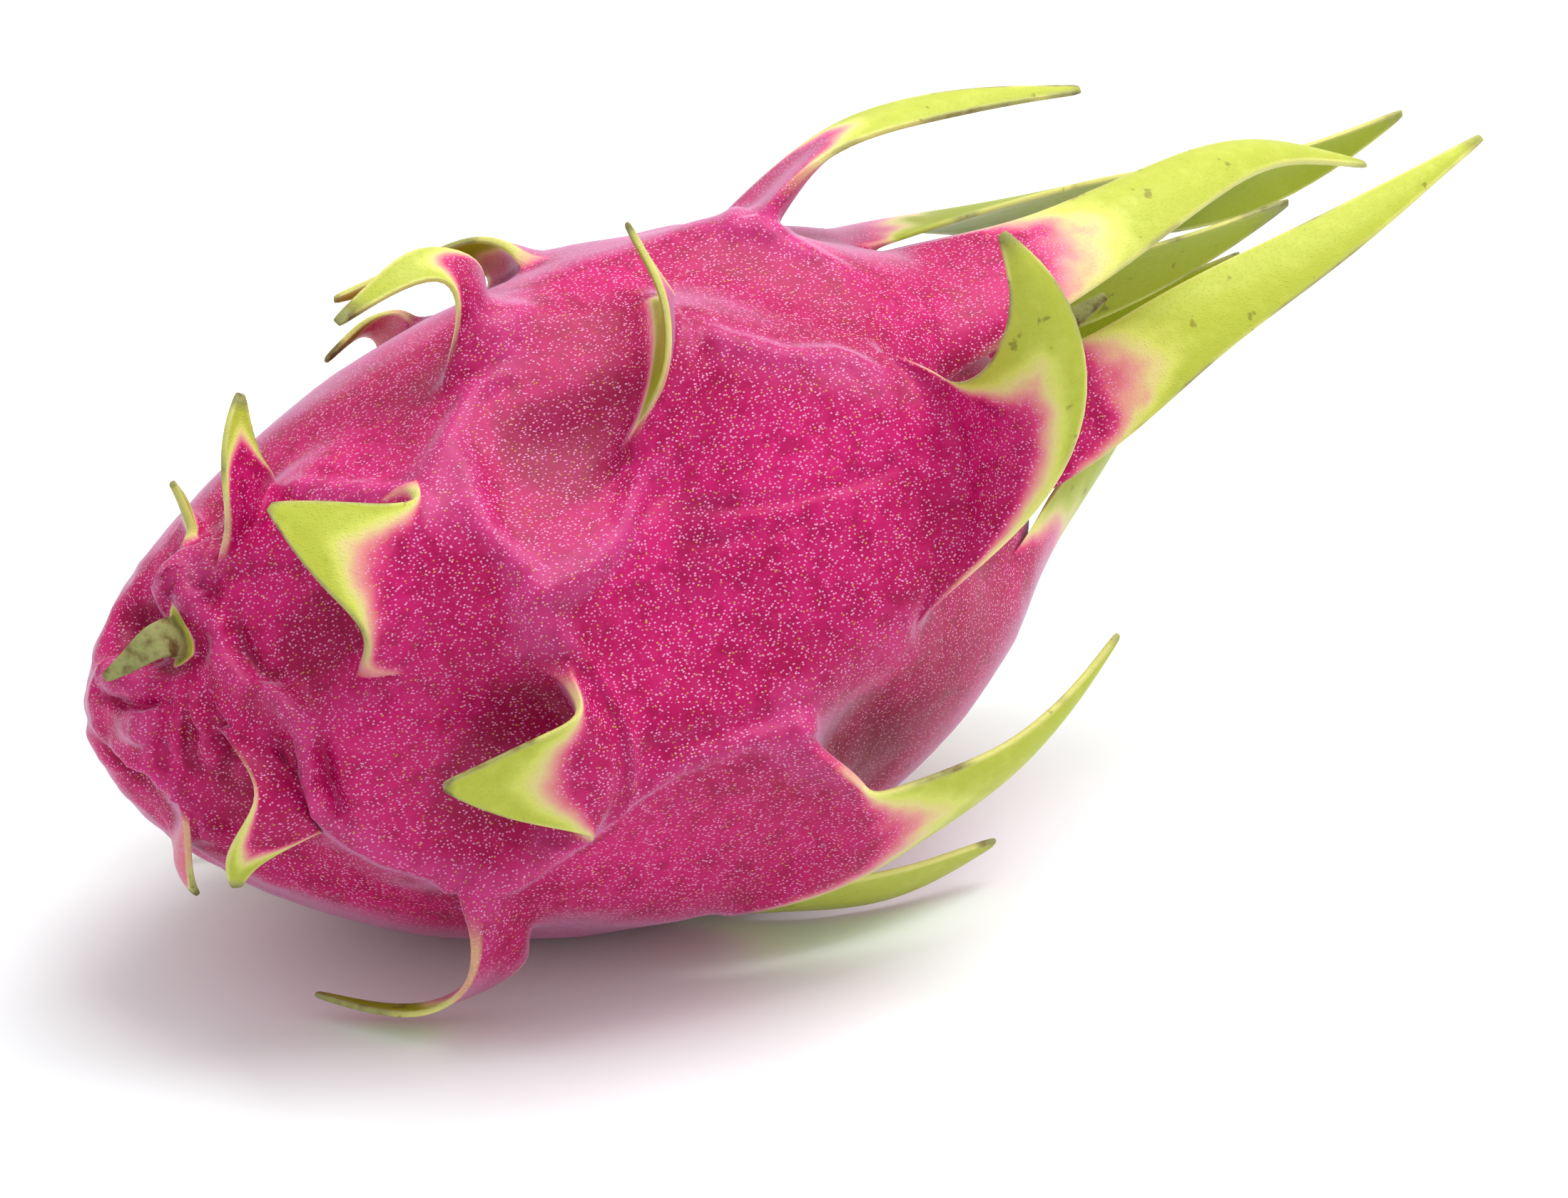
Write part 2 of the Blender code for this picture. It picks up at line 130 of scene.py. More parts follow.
# %% [markdown]
# ## The scales
#
# Each scale is a leaf on a broad root. Its line below gives the root's address and half width,
# its slant and how far its corners lag, how high the skin rises into it, how far it is a strap
# and not a triangle, its twist, how much its margins cup, and the points that its midrib
# passes through. Leaves could be separate pieces pushed into the skin, but on the real fruit
# they are one with it, so they are extruded from the skin's own faces.

# %% Table of scales
Scale = namedtuple("Scale", "name root half turn sag swell strap roll cup columns path")

SCALES = (
    Scale("top_strap", (29, -2), 7, -15, 3, 2.0, 0.50, 60, 0.10, 4,
          ((34, 3, 49), (44, 3, 54), (61, 2, 55), (79, 0, 54))),
    Scale("crown_upper_front", (45, 30), 12, -20, 4, 3.5, 0.47, 10, 0.25, 5,
          ((56, -16, 37), (69, -16, 41), (84, -14, 44), (102, -11, 45), (124, -8, 38))),
    Scale("crown_upper_back", (47, -15), 12, -5, 3, 1.5, 0.95, -60, 0.15, 4,
          ((66, 13, 35), (84, 14, 34), (109, 13, 31), (128, 12, 31), (146, 8, 38))),
    Scale("crown_front", (55, 64), 8.5, -10, 3, 2.5, 0.62, -10, 0.20, 5,
          ((65, -22, 20), (80, -25, 29), (103, -25, 36), (134, -20, 43))),
    Scale("crown_lower_front", (50, 108), 10, 10, 2, 1.5, 0.72, 0, 0.15, 4,
          ((58, -21, 1), (69, -18, 8), (79, -14, 14), (89, -9.5, 19))),
    Scale("sail", (30, 65), 16, -12, 7, 4.5, 0.46, 75, 0.25, 6,
          ((32, -43, 27), (35, -47, 34), (35.5, -48, 41), (34, -48, 48), (30, -46, 55))),
    Scale("low_strap", (6, 115), 16, -4, 6, 3.0, 0.30, 0, 0.20, 5,
          ((13, -43, -21), (23, -46, -18), (34, -47, -14), (44, -46, -8), (51, -45, -2))),
    Scale("floor_strap", (5, 148), 9, 5, 3, 1.5, 0.80, -30, 0.10, 4,
          ((14, -30, -35), (28, -32, -36), (43, -31, -34.5))),
    Scale("foot", (-29, 124), 8.5, 40, 2, -2.0, 0.45, 0, 0.15, 4,
          ((-31, -30, -28), (-34.5, -26, -35), (-40, -21, -38), (-48, -13, -36.5))),
    Scale("belly_claw", (-21.5, 87), 11, 2, 3.5, -4.5, 0.74, 0, 0.00, 5,
          ((-26, -42.5, -1.2), (-31, -40.5, -1.6), (-36, -38.5, -1.8), (-41.5, -35, -1.6))),
    Scale("shoulder_claw", (-36, 50), 11.5, -36, 3, -4.0, 0.66, 0, 0.00, 5,
          ((-40, -24, 21.5), (-44, -19.5, 23.7), (-47, -15, 25.7), (-49.5, -10.7, 27.1))),
    Scale("fin", (-1, 28.5), 13, -35, 3, -4.0, 0.30, 30, 0.10, 5,
          ((-2, -24, 45), (-3, -21.5, 50), (-4, -17.5, 55))),
    Scale("curl", (-15.5, 4), 8.5, -47, 2, -2.5, 0.32, 0, 0.15, 4,
          ((-17, -3, 45), (-21, -3, 50), (-28, -4, 49), (-36, -4, 45))),
    Scale("back_claw", (5, -28), 9, -10, 3, -1.5, 0.35, 0, 0.10, 4,
          ((2, 24, 39), (-8, 28, 37), (-18, 30, 35))),
    Scale("back_shoulder", (-6, -50), 8, 0, 2, -1.5, 0.30, 0, 0.10, 4,
          ((-9, 34.5, 29), (-13, 34.5, 28), (-17.5, 34, 25.5))),
    Scale("brow", (-46.5, 12), 7.3, -52, 1, -2.5, 0.65, 0, 0.10, 4,
          ((-48.5, -3, 26.5), (-49, -2.5, 30), (-48, -0.5, 33.5), (-46.5, 1, 37))),
    Scale("stem_back_tip", (-49.5, -13), 5, -20, 1, 0.0, 0.60, 0, 0.10, 4,
          ((-50.8, 9.5, 21.5), (-51.8, 10, 24))),
    Scale("cheek", (-51.8, 87.5), 8.8, 38, 2, -3.5, 0.45, 0, 0.00, 4,
          ((-54.5, -21.5, -7), (-58, -19, -11), (-59.3, -16, -15), (-58, -13.5, -18.7))),
    Scale("chin", (-59, 136), 4.8, 0, 1, -1.5, 0.85, 0, 0.10, 4,
          ((-61.3, -5.5, -16.8), (-61.3, -6, -19.5), (-59.5, -5.5, -22.5))),
    Scale("scar_flap", (-58, 26), 2.5, -20, 0, 0.0, 1.20, 0, 0.00, 4,
          ((-61.5, -4, 11), (-64.5, -3.5, 9), (-68, -2.5, 7))),
    Scale("dry_flower", (64, 5), 4, 0, 1, 0.0, 0.90, 30, 0.10, 4,
          ((68, 5, 15), (75, 1, 20), (83, -2, 25))),
    Scale("crown_top_back", (48, -62), 11, 0, 3, 1.5, 0.90, 0, 0.15, 4,
          ((64, 24, 20), (80.5, 16, 18.6), (103.5, 8, 23.9), (121, 4, 30))),
    Scale("crown_back", (50, -112), 11, 0, 3, 1.5, 0.60, 0, 0.15, 4,
          ((64, 27, -4), (82, 20, 5), (98, 14, 13), (116, 8, 22))),
    Scale("crown_low_back", (47, -165), 10, 0, 3, 1.5, 0.45, 0, 0.15, 4,
          ((57, 11, -24), (66, 6, -15), (73, 2, -4))),
    Scale("back_fin", (10, -75), 14, 10, 5, 3.0, 0.25, 0, 0.15, 5,
          ((17, 49, 12), (26, 54, 12), (34, 58, 17))),
    Scale("back_low_strap", (14, -120), 14, 0, 5, 2.5, 0.40, 0, 0.15, 5,
          ((27, 43, -25), (40, 49, -22), (54, 48, -12))),
    Scale("back_belly_claw", (-14, -95), 13, 5, 5, -4.0, 0.25, 0, 0.10, 5,
          ((-18, 48, -5), (-27, 52, -5), (-36, 50, -3))),
    Scale("back_foot", (-18, -148), 9, 0, 3, -1.5, 0.40, 0, 0.10, 4,
          ((-23, 27, -35), (-32, 33, -37), (-41, 37, -35))),
    Scale("back_cheek", (-40, -105), 8, 0, 2, -1.0, 0.25, 0, 0.10, 4,
          ((-43, 35, -10), (-47, 39, -12))),
    Scale("under_stem", (-34, -140), 8, 0, 2, -0.5, 0.30, 0, 0.10, 4,
          ((-37, 27, -31), (-41, 31, -33))),
)

print(len(SCALES), "scales")

# %% [markdown]
# ## The folds
#
# Ripe skin is drawn into soft ridges that run from the corner of one scale to the corner of the
# next, with hollows between them. A sculpt brush could draw them, but a table keeps each one
# tied to the scales' addresses. Each line gives a fold's height (below 0 for a hollow) and
# its width in millimetres, and the addresses that it runs through. A ridge has shallow valleys
# beside it, because the skin that rises in the ridge is drawn from both sides.

# %% Table of folds
Fold = namedtuple("Fold", "height width line")

VALLEY_SHARE = 0.35
VALLEY_WIDTH = 2.4

FOLDS = (
    Fold(2.8, 4.5, ((-8, 43), (-14, 54), (-24, 60), (-26, 67))),
    Fold(2.6, 4.5, ((-10, 4), (-18, 12), (-24, 20), (-30, 30), (-32, 38))),
    Fold(2.0, 4.0, ((-27, 28), (-28, 43), (-25, 58))),
    Fold(2.4, 4.5, ((-47, 104), (-42, 112), (-36, 117))),
    Fold(2.2, 4.0, ((-34, 116), (-29, 111), (-24, 101))),
    Fold(2.2, 3.5, ((-44, 68), (-49, 74))),
    Fold(2.2, 5.0, ((3, 28), (12, 37), (23, 45))),
    Fold(1.8, 5.0, ((22, 2), (30, 18))),
    Fold(1.6, 5.0, ((-19, 89), (-9, 90), (2, 92))),
    Fold(1.8, 4.0, ((2, 92), (5, 102), (14, 116))),
    Fold(1.6, 6.0, ((20, 86), (2, 92))),
    Fold(1.6, 6.0, ((1, 135), (-22, 122))),
    Fold(2.0, 4.0, ((-33, 34), (-41, 14))),
    Fold(1.6, 6.0, ((26, 7), (-8, -10))),
    Fold(2.2, 5.0, ((-8, -82), (10, -50))),
    Fold(2.2, 5.0, ((14, -100), (-12, -110))),
    Fold(1.8, 5.0, ((-8, -80), (-24, -74))),
    Fold(1.8, 5.0, ((-20, -135), (-14, -110))),
    Fold(2.2, 5.0, ((10, -50), (30, -30))),
    Fold(1.8, 5.0, ((-46, -110), (-26, -140))),
    Fold(-2.2, 8.0, ((-31, 78), (-34, 92))),
    Fold(-2.0, 7.0, ((-44, 46), (-47, 60))),
    Fold(-1.4, 7.0, ((-10, 32), (-4, 52))),
    Fold(-2.4, 8.0, ((15, 102), (22, 122))),
    Fold(-2.4, 7.0, ((40, 55), (42, 82))),
    Fold(-1.6, 8.0, ((-16, 78), (-8, 66))),
    Fold(-1.8, 8.0, ((-18, 30), (-14, 44))),
    Fold(-4.5, 4.0, ((-60, -10), (-61, 10), (-60, 22))),
    Fold(5.5, 4.0, ((-54, 5), (-54, 15))),
    Fold(4.0, 4.0, ((-62.5, 34), (-62.5, 66))),
    Fold(2.0, 3.0, ((-61, 112), (-58, 124))),
    Fold(-2.5, 2.5, ((-62, 20), (-62.5, 50), (-64, 40))),
    Fold(-4.0, 9.0, ((63, -90), (63, 90))),
)

print(len(FOLDS), "folds")

# %% [markdown]
# ## The cage
#
# A UV sphere has its poles at the two ends of the fruit. A strip of its faces is lent to each
# scale and moved to the scale's root. All other points are then relaxed with Smooth Vertices,
# which spreads them evenly between the pinned strips, as a net drawn over a ball would settle.

# %% Sphere with a strip for each scale
SEGMENTS = 52
RINGS = 34
RELAX_ROUNDS = 60
STRIP_SEARCH = 3
ROOT_THICKNESS = 3.2
MARGIN_SHARE = 0.55


def moved_address(address, along, across):
    """An address moved by millimetres towards the flower end and round the body."""
    station, angle = address
    slope = body_radius(station + 0.5) - body_radius(station - 0.5)
    moved = station + along / np.sqrt(1.0 + slope**2)
    return moved, angle + np.degrees(across / body_radius(station))


def root_address(scale, across, inner):
    """Where a point of a scale's root lies: across runs -1 to 1, inner is 0 or 1."""
    slant = math.radians(scale.turn)
    thickness = ROOT_THICKNESS * (1.0 - MARGIN_SHARE * across**2)
    along = -scale.sag * across**2 + (inner - 0.5) * thickness
    side = scale.half * across
    return moved_address(scale.root, along * math.cos(slant) + side * math.sin(slant),
                         side * math.cos(slant) - along * math.sin(slant))


def make_cage():
    """A unit sphere with its poles on X, as a bmesh and a table of its grid."""
    cage = bmesh.new()
    cage.verts.layers.int.new("cell")
    cage.verts.layers.int.new("owner")
    for layer in ("along", "across", "inner"):
        cage.verts.layers.float.new(layer)
    cage.verts.layers.float_vector.new("address")
    bmesh.ops.create_uvsphere(cage, u_segments=SEGMENTS, v_segments=RINGS, radius=1.0,
                              matrix=Matrix.Rotation(math.pi / 2, 4, "Y"))
    grid = {}
    for vert in cage.verts:
        ring = round(math.acos(max(-1.0, min(1.0, -vert.co.x))) / math.pi * RINGS)
        column = round(math.atan2(-vert.co.y, vert.co.z) / math.tau * SEGMENTS) % SEGMENTS
        grid[ring, 0 if ring in (0, RINGS) else column] = vert
    return cage, grid


def choose_strip(grid, taken, scale):
    """The grid row and column of the free strip nearest to a scale's root."""
    direction = sphere_point(*scale.root)
    ring = math.acos(-direction[0]) / math.pi * RINGS - 0.5
    column = math.radians(scale.root[1]) / math.tau * SEGMENTS - scale.columns / 2
    options = []
    for ring_step in range(-STRIP_SEARCH, STRIP_SEARCH + 1):
        for column_step in range(-STRIP_SEARCH, STRIP_SEARCH + 1):
            first_ring = round(ring) + ring_step
            first_column = round(column) + column_step
            cells = [(first_ring + row, (first_column + step) % SEGMENTS)
                     for row in (0, 1) for step in range(scale.columns + 1)]
            if 1 < first_ring < RINGS - 2 and not taken.intersection(cells):
                away = (first_ring - ring) ** 2 + (first_column - column) ** 2
                options.append((away, first_ring, first_column))
    return min(options)[1:]


def pin_strips(cage, grid):
    """Moves each scale's strip to its root, and returns the strips' points by scale."""
    taken = set()
    strips = []
    for scale in SCALES:
        first_ring, first_column = choose_strip(grid, taken, scale)
        strip = {}
        for inner in (0, 1):
            for step in range(scale.columns + 1):
                cell = (first_ring + inner, (first_column + step) % SEGMENTS)
                taken.add(cell)
                strip[inner, step] = grid[cell]
                across = 2.0 * step / scale.columns - 1.0
                grid[cell].co = sphere_point(*root_address(scale, across, inner))
        strips.append(strip)
    return strips


def relax(cage, grid, strips):
    """Spreads the free points evenly over the unit sphere."""
    pinned = {vert for strip in strips for vert in strip.values()}
    pinned.update((grid[0, 0], grid[RINGS, 0]))
    free = [vert for vert in cage.verts if vert not in pinned]
    for _ in range(RELAX_ROUNDS):
        bmesh.ops.smooth_vert(cage, verts=free, factor=0.5,
                              use_axis_x=True, use_axis_y=True, use_axis_z=True)
        for vert in free:
            vert.co.normalize()


cage, grid = make_cage()
strips = pin_strips(cage, grid)
relax(cage, grid, strips)
print("cage of", len(cage.faces), "faces")

# %% [markdown]
# ## Swelling the body
#
# The relaxed sphere now becomes the body. The skin rises into each scale from the stem side, or
# from the flower side where the scale folds back, sinks a little behind it, and follows the
# folds. Sculpt brushes would do the same, but rules keep every scale's root alike.

# %% Relief of the body
SWELL_REACH = 45.0
SWELL_LENGTH = 15.0
HOLLOW_SHARE = 0.45
HOLLOW_LENGTH = 9.0


def near_root(scale, stations, angles):
    """Where addresses lie seen from a root: ahead in millimetres, across in half widths."""
    turned = (angles - scale.root[1] + 180.0) % 360.0 - 180.0
    along = stations - scale.root[0]
    side = np.radians(turned) * body_radius(stations)
    slant = math.radians(scale.turn)
    across = (side * math.cos(slant) + along * math.sin(slant)) / scale.half
    ahead = along * math.cos(slant) - side * math.sin(slant) + scale.sag * across**2
    return ahead, across, np.hypot(along, side) < SWELL_REACH


def swelling(scale, stations, angles):
    """How far the skin rises into a scale, or sinks into the hollow behind it."""
    ahead, across, within = near_root(scale, stations, angles)
    ahead = np.where(scale.swell < 0.0, -ahead, ahead)
    height = np.where(ahead > 0.0, -HOLLOW_SHARE * np.exp(-((ahead / HOLLOW_LENGTH) ** 2)),
                      np.exp(-((ahead / SWELL_LENGTH) ** 2)))
    return abs(scale.swell) * np.exp(-(across**4)) * height * within


def distance_to_line(places, line):
    """The distance of each point from a line over the skin, and the share of the line there."""
    knots = [skin_point(*address) for address in line]
    nearest = np.full(len(places), np.inf)
    share_there = np.zeros(len(places))
    for index, (start, end) in enumerate(zip(knots, knots[1:])):
        run = end - start
        share = np.clip((places - start) @ run / (run @ run), 0.0, 1.0)
        away = np.linalg.norm(places - start - share[:, None] * run, axis=1)
        share_there = np.where(away < nearest, (index + share) / (len(knots) - 1), share_there)
        nearest = np.minimum(away, nearest)
    return nearest, share_there


def ridge(away, width):
    """A ridge of height 1 with shallow valleys beside it, by the distance from its crest."""
    crest = np.exp(-((away / width) ** 2))
    valley = np.exp(-((away / width / VALLEY_WIDTH) ** 2))
    return (1.0 + VALLEY_SHARE) * crest - VALLEY_SHARE * valley


def folding(places):
    """How far the folds lift points of the smooth body, in millimetres."""
    return sum(fold.height * ridge(distance_to_line(places, fold.line)[0], fold.width)
               for fold in FOLDS)


def relief(places, stations, angles):
    """How far folds and scales lift points of the smooth body, in millimetres."""
    return sum(swelling(scale, stations, angles) for scale in SCALES) + folding(places)


def swell(cage):
    """Turns the relaxed unit sphere into the fruit's body with its folds, in millimetres."""
    layer = cage.verts.layers.float_vector["address"]
    directions = np.array([vert.co for vert in cage.verts])
    stations, angles = address_of(directions)
    places = skin_point(stations, angles)
    for vert, place, direction in zip(cage.verts, places, directions):
        vert[layer] = direction
        vert.co = place
    cage.normal_update()
    lifts = relief(places, stations, angles)
    raised = [vert.normal * lift for vert, lift in zip(cage.verts, lifts)]
    for vert, lift in zip(cage.verts, raised):
        vert.co += lift
        vert.co.z = max(vert.co.z, -REST_HEIGHT)


swell(cage)
print("body swelled to", round(max(vert.co.z for vert in cage.verts)), "mm above its centre")

# %% [markdown]
# ## Growing the scales
#
# Leaves could be made apart and joined on with a Boolean, but the real scales are one with the
# skin. So Extrude Region moves a strip of faces along the midrib, section by section. Each
# section is set across the midrib, narrowed to the scale's outline, twisted, and cupped at its
# margins. Near the root the section still follows the root's own outline, so that leaf and
# skin flow into each other.

# %% Extrude each scale
BLADE_THICKNESS = 1.7
TIP_THICKNESS = 0.9
THINNEST = 0.7
ROOT_SHARE = 0.4
MARGIN_LIFT = 0.10
FLARE_POWER = 2.6
STRAP_NARROWING = 0.35
TIP_BLUNTNESS = 0.8
TIP_HALF_WIDTH = 0.6
SECTION_LENGTH = 6.0
FEWEST_SECTIONS = 5
MOST_SECTIONS = 10
ROOT_CROWDING = 1.25
PATH_STEPS = 16


def smooth_path(knots):
    """Points along a smooth curve through the given points."""
    ends = [2 * knots[0] - knots[1]] + knots + [2 * knots[-1] - knots[-2]]
    dense = []
    for a, b, c, d in zip(ends, ends[1:], ends[2:], ends[3:]):
        for step in range(PATH_STEPS):
            t = step / PATH_STEPS
            dense.append(0.5 * (2 * b + (c - a) * t + (2 * a - 5 * b + 4 * c - d) * t**2
                                + (3 * b - a - 3 * c + d) * t**3))
    dense.append(knots[-1])
    return dense


def along_path(dense, share):
    """The point and direction at a share of a dense path's length."""
    lengths = [0.0]
    for first, second in zip(dense, dense[1:]):
        lengths.append(lengths[-1] + (second - first).length)
    goal = share * lengths[-1]
    index = max(i for i, length in enumerate(lengths[:-1]) if length <= goal)
    rest = (goal - lengths[index]) / (lengths[index + 1] - lengths[index])
    before = dense[max(index - 1, 0)]
    after = dense[min(index + 2, len(dense) - 1)]
    return dense[index].lerp(dense[index + 1], rest), (after - before).normalized()


def eased(share):
    """A share from 0 to 1 that starts and ends gently."""
    return share * share * (3.0 - 2.0 * share)


def half_width(scale, share):
    """Half a scale's width at a share of its length: a flare, a strap and a pointed tip."""
    flare = (1.0 - scale.strap) * (1.0 - share) ** FLARE_POWER
    strap = scale.strap * (1.0 - share**3) ** TIP_BLUNTNESS * (1.0 - STRAP_NARROWING * share)
    return max(scale.half * (flare + strap), TIP_HALF_WIDTH)


def grow_scale(cage, number, scale, strip):
    """Extrudes a scale's strip of faces along its midrib."""
    centre = sum((vert.co for vert in strip.values()), Vector()) / len(strip)
    dense = smooth_path([centre] + [Vector(point) for point in scale.path])
    length = sum((b - a).length for a, b in zip(dense, dense[1:]))
    sections = max(FEWEST_SECTIONS, min(MOST_SECTIONS, round(length / SECTION_LENGTH)))
    width_axis = strip[0, scale.columns].co - strip[0, 0].co
    outward = (centre - Vector(axis_point(scale.root[0]))).normalized()
    outline = {}
    cell = cage.verts.layers.int["cell"]
    owner = cage.verts.layers.int["owner"]
    along, wide, side_of = (cage.verts.layers.float[name] for name in ("along", "across", "inner"))
    for (inner, step), vert in strip.items():
        vert[cell] = 1 + inner + 2 * step
        vert[wide] = 2.0 * step / scale.columns - 1.0
        vert[side_of] = inner
        outline[inner, step] = vert.co - centre
    cells = set(strip.values())
    faces = [face for face in cage.faces if all(vert in cells for vert in face.verts)]
    for section in range(1, sections + 1):
        grown = bmesh.ops.extrude_face_region(cage, geom=faces)["geom"]
        bmesh.ops.delete(cage, geom=faces, context="FACES")
        faces = [item for item in grown if isinstance(item, bmesh.types.BMFace)]
        share = (section / sections) ** ROOT_CROWDING
        point, heading = along_path(dense, share)
        width_axis = (width_axis - heading * heading.dot(width_axis)).normalized()
        twist = math.radians(scale.roll) * eased(share)
        side = Matrix.Rotation(twist, 3, heading) @ width_axis
        inward = heading.cross(side)
        half = half_width(scale, share)
        thickness = BLADE_THICKNESS + (TIP_THICKNESS - BLADE_THICKNESS) * share
        free = eased(min(1.0, share / ROOT_SHARE))
        for vert in {vert for face in faces for vert in face.verts}:
            step, inner = divmod(vert[cell] - 1, 2)
            across = 2.0 * step / scale.columns - 1.0
            vert[owner] = number
            vert[along] = share
            vert[wide] = across
            vert[side_of] = inner
            lag = scale.sag * (1.0 - share) ** 2 * across**2
            curl = scale.cup * half * across**2
            depth = (inner - 0.5) * max(thickness * (1.0 - MARGIN_SHARE * across**2), THINNEST)
            blade = side * (half * across) - heading * lag + inward * (curl + depth)
            root = outline[inner, step] * (half / scale.half)
            lifted = outward * (MARGIN_LIFT * half * across**2 * 4.0 * free * (1.0 - free))
            vert.co = point + root.lerp(blade, free) + lifted


for number, (scale, strip) in enumerate(zip(SCALES, strips), 1):
    grow_scale(cage, number, scale, strip)
print("cage with scales has", len(cage.faces), "faces")

# %% [markdown]
# ## From cage to skin
#
# A Subdivision Surface turns the coarse cage into smooth skin. The margins of the scales are
# creased a little first, so that they stay thin and keep their width. The modifier is applied,
# because the fine wrinkles that come next need the fine points. What each cage point knows,
# its address and its place on a scale, is carried along by attributes. The near side of the
# body is then divided once more with Subdivide, so that the faces are there where creases run.

# %% Subdivide the cage
SMOOTH_LEVELS = 2
MARGIN_CREASE = 0.55
TIP_CREASE = 0.35
CREASED_STATIONS = (-66, 34)
CREASED_ANGLES = (-12, 132)


def crease_margins(cage):
    """Creases the edges that run along the scales' margins and round their tips."""
    crease = cage.edges.layers.float.new("crease_edge")
    owner = cage.verts.layers.int["owner"]
    along = cage.verts.layers.float["along"]
    wide = cage.verts.layers.float["across"]
    for edge in cage.edges:
        first, second = edge.verts
        if not (first[owner] or second[owner]):
            continue
        if abs(first[wide]) > 0.99 and abs(second[wide]) > 0.99 and first[along] != second[along]:
            edge[crease] = MARGIN_CREASE
        if first[along] > 0.999 and second[along] > 0.999:
            edge[crease] = TIP_CREASE


def smooth_object(cage):
    """Makes an object of the cage, and applies a Subdivision Surface to it."""
    owner = cage.verts.layers.int["owner"]
    number = cage.faces.layers.int.new("scale")
    for face in cage.faces:
        face[number] = max(vert[owner] for vert in face.verts)
    cage.verts.layers.int.remove(cage.verts.layers.int["cell"])
    cage.verts.layers.int.remove(cage.verts.layers.int["owner"])
    mesh = bpy.data.meshes.new("whole_fruit")
    cage.to_mesh(mesh)
    fruit = bpy.data.objects.new("whole_fruit", mesh)
    bpy.context.scene.collection.objects.link(fruit)
    smooth = fruit.modifiers.new("smooth", "SUBSURF")
    smooth.levels = smooth.render_levels = SMOOTH_LEVELS
    bpy.context.view_layer.update()
    graph = bpy.context.evaluated_depsgraph_get()
    fine = bpy.data.meshes.new_from_object(fruit.evaluated_get(graph))
    fruit.modifiers.clear()
    fruit.data = fine
    fine.name = "whole_fruit"
    return fruit


def refine_near_side(mesh):
    """Halves the faces of the body where the creases are."""
    detail = bmesh.new()
    detail.from_mesh(mesh)
    number = detail.faces.layers.int["scale"]
    address = detail.verts.layers.float_vector["address"]
    chosen = set()
    for face in detail.faces:
        direction = np.mean([vert[address] for vert in face.verts], axis=0)
        station, angle = address_of(direction / np.linalg.norm(direction))
        along_creases = CREASED_STATIONS[0] < station < CREASED_STATIONS[1]
        round_creases = CREASED_ANGLES[0] < angle < CREASED_ANGLES[1]
        if face[number] == 0 and along_creases and round_creases:
            chosen.update(face.edges)
    bmesh.ops.subdivide_edges(detail, edges=list(chosen), cuts=1, use_grid_fill=True)
    bmesh.ops.triangulate(detail, faces=[face for face in detail.faces if len(face.verts) > 4])
    detail.to_mesh(mesh)
    detail.free()


cage_low = np.min([vert.co for vert in cage.verts], axis=0)
cage_high = np.max([vert.co for vert in cage.verts], axis=0)
crease_margins(cage)
fruit = smooth_object(cage)
cage.free()
skin = fruit.data
refine_near_side(skin)
print("skin of", len(skin.polygons), "faces;", [layer.name for layer in skin.attributes])

# %% [markdown]
# ## Reading the skin into arrays
#
# The wrinkles and the colours below depend on where a point of the skin lies. NumPy reads all
# points at once, which is much quicker than a loop over them.

# %% Points, normals and addresses


def read_attribute(name, width=1):
    """An attribute of the skin's points as an array."""
    data = skin.attributes[name].data
    values = np.zeros(len(data) * width, np.float32)
    data.foreach_get("vector" if width == 3 else "value", values)
    return values.reshape(-1, 3).astype(float) if width == 3 else values.astype(float)


def read_points():
    """The skin's points and normals."""
    places = np.zeros(len(skin.vertices) * 3, np.float32)
    skin.vertices.foreach_get("co", places)
    normals = np.zeros(len(skin.vertices) * 3, np.float32)
    skin.vertex_normals.foreach_get("vector", normals)
    return places.reshape(-1, 3).astype(float), normals.reshape(-1, 3).astype(float)


def owner_of_points():
    """The number of the scale that each point belongs to, or 0 on the body."""
    numbers = np.zeros(len(skin.polygons), np.int32)
    skin.attributes["scale"].data.foreach_get("value", numbers)
    sizes = np.zeros(len(skin.polygons), np.int32)
    skin.polygons.foreach_get("loop_total", sizes)
    corners = np.zeros(len(skin.loops), np.int32)
    skin.loops.foreach_get("vertex_index", corners)
    owners = np.zeros(len(skin.vertices), np.int32)
    np.maximum.at(owners, corners, np.repeat(numbers, sizes))
    return owners


def step_up(low, high, value):
    """0 below low, 1 above high, and a gentle step between."""
    share = np.clip((np.asarray(value) - low) / (high - low), 0.0, 1.0)
    return share * share * (3.0 - 2.0 * share)


def cloud(places, size, seed=0.0):
    """Smooth noise from -1 to 1 with lumps of a size in millimetres."""
    offset = Vector((seed, seed * 0.7, -seed))
    return np.array([noise.noise(Vector(place) / size + offset) for place in places])


along = read_attribute("along")
across = read_attribute("across")
inner = read_attribute("inner")
directions = read_attribute("address", 3)
directions /= np.linalg.norm(directions, axis=1)[:, None]
owners = owner_of_points()
on_scale = owners > 0
stations, angles = address_of(directions)
places, normals = read_points()
print(len(places), "points,", int(on_scale.sum()), "of them on scales")

# %% [markdown]
# ## Fine wrinkles
#
# The skin of the real fruit is pulled into sharp creases at the corners of its scales, and is
# slightly lumpy everywhere. Each crease below is a line between addresses with a height and a
# width. These are too fine for the cage, so they move the points of the smooth skin.

# %% Lumps and creases
LUMP_SIZE = 9.0
LUMP_HEIGHT = 0.25
PIMPLE_SIZE = 2.2
PIMPLE_HEIGHT = 0.05
PUCKER_SIZE = 5.0
PUCKER_HEIGHT = 0.45
PUCKER_STRETCH = (0.6, 1.0, 0.45)

Crease = namedtuple("Crease", "height width line")

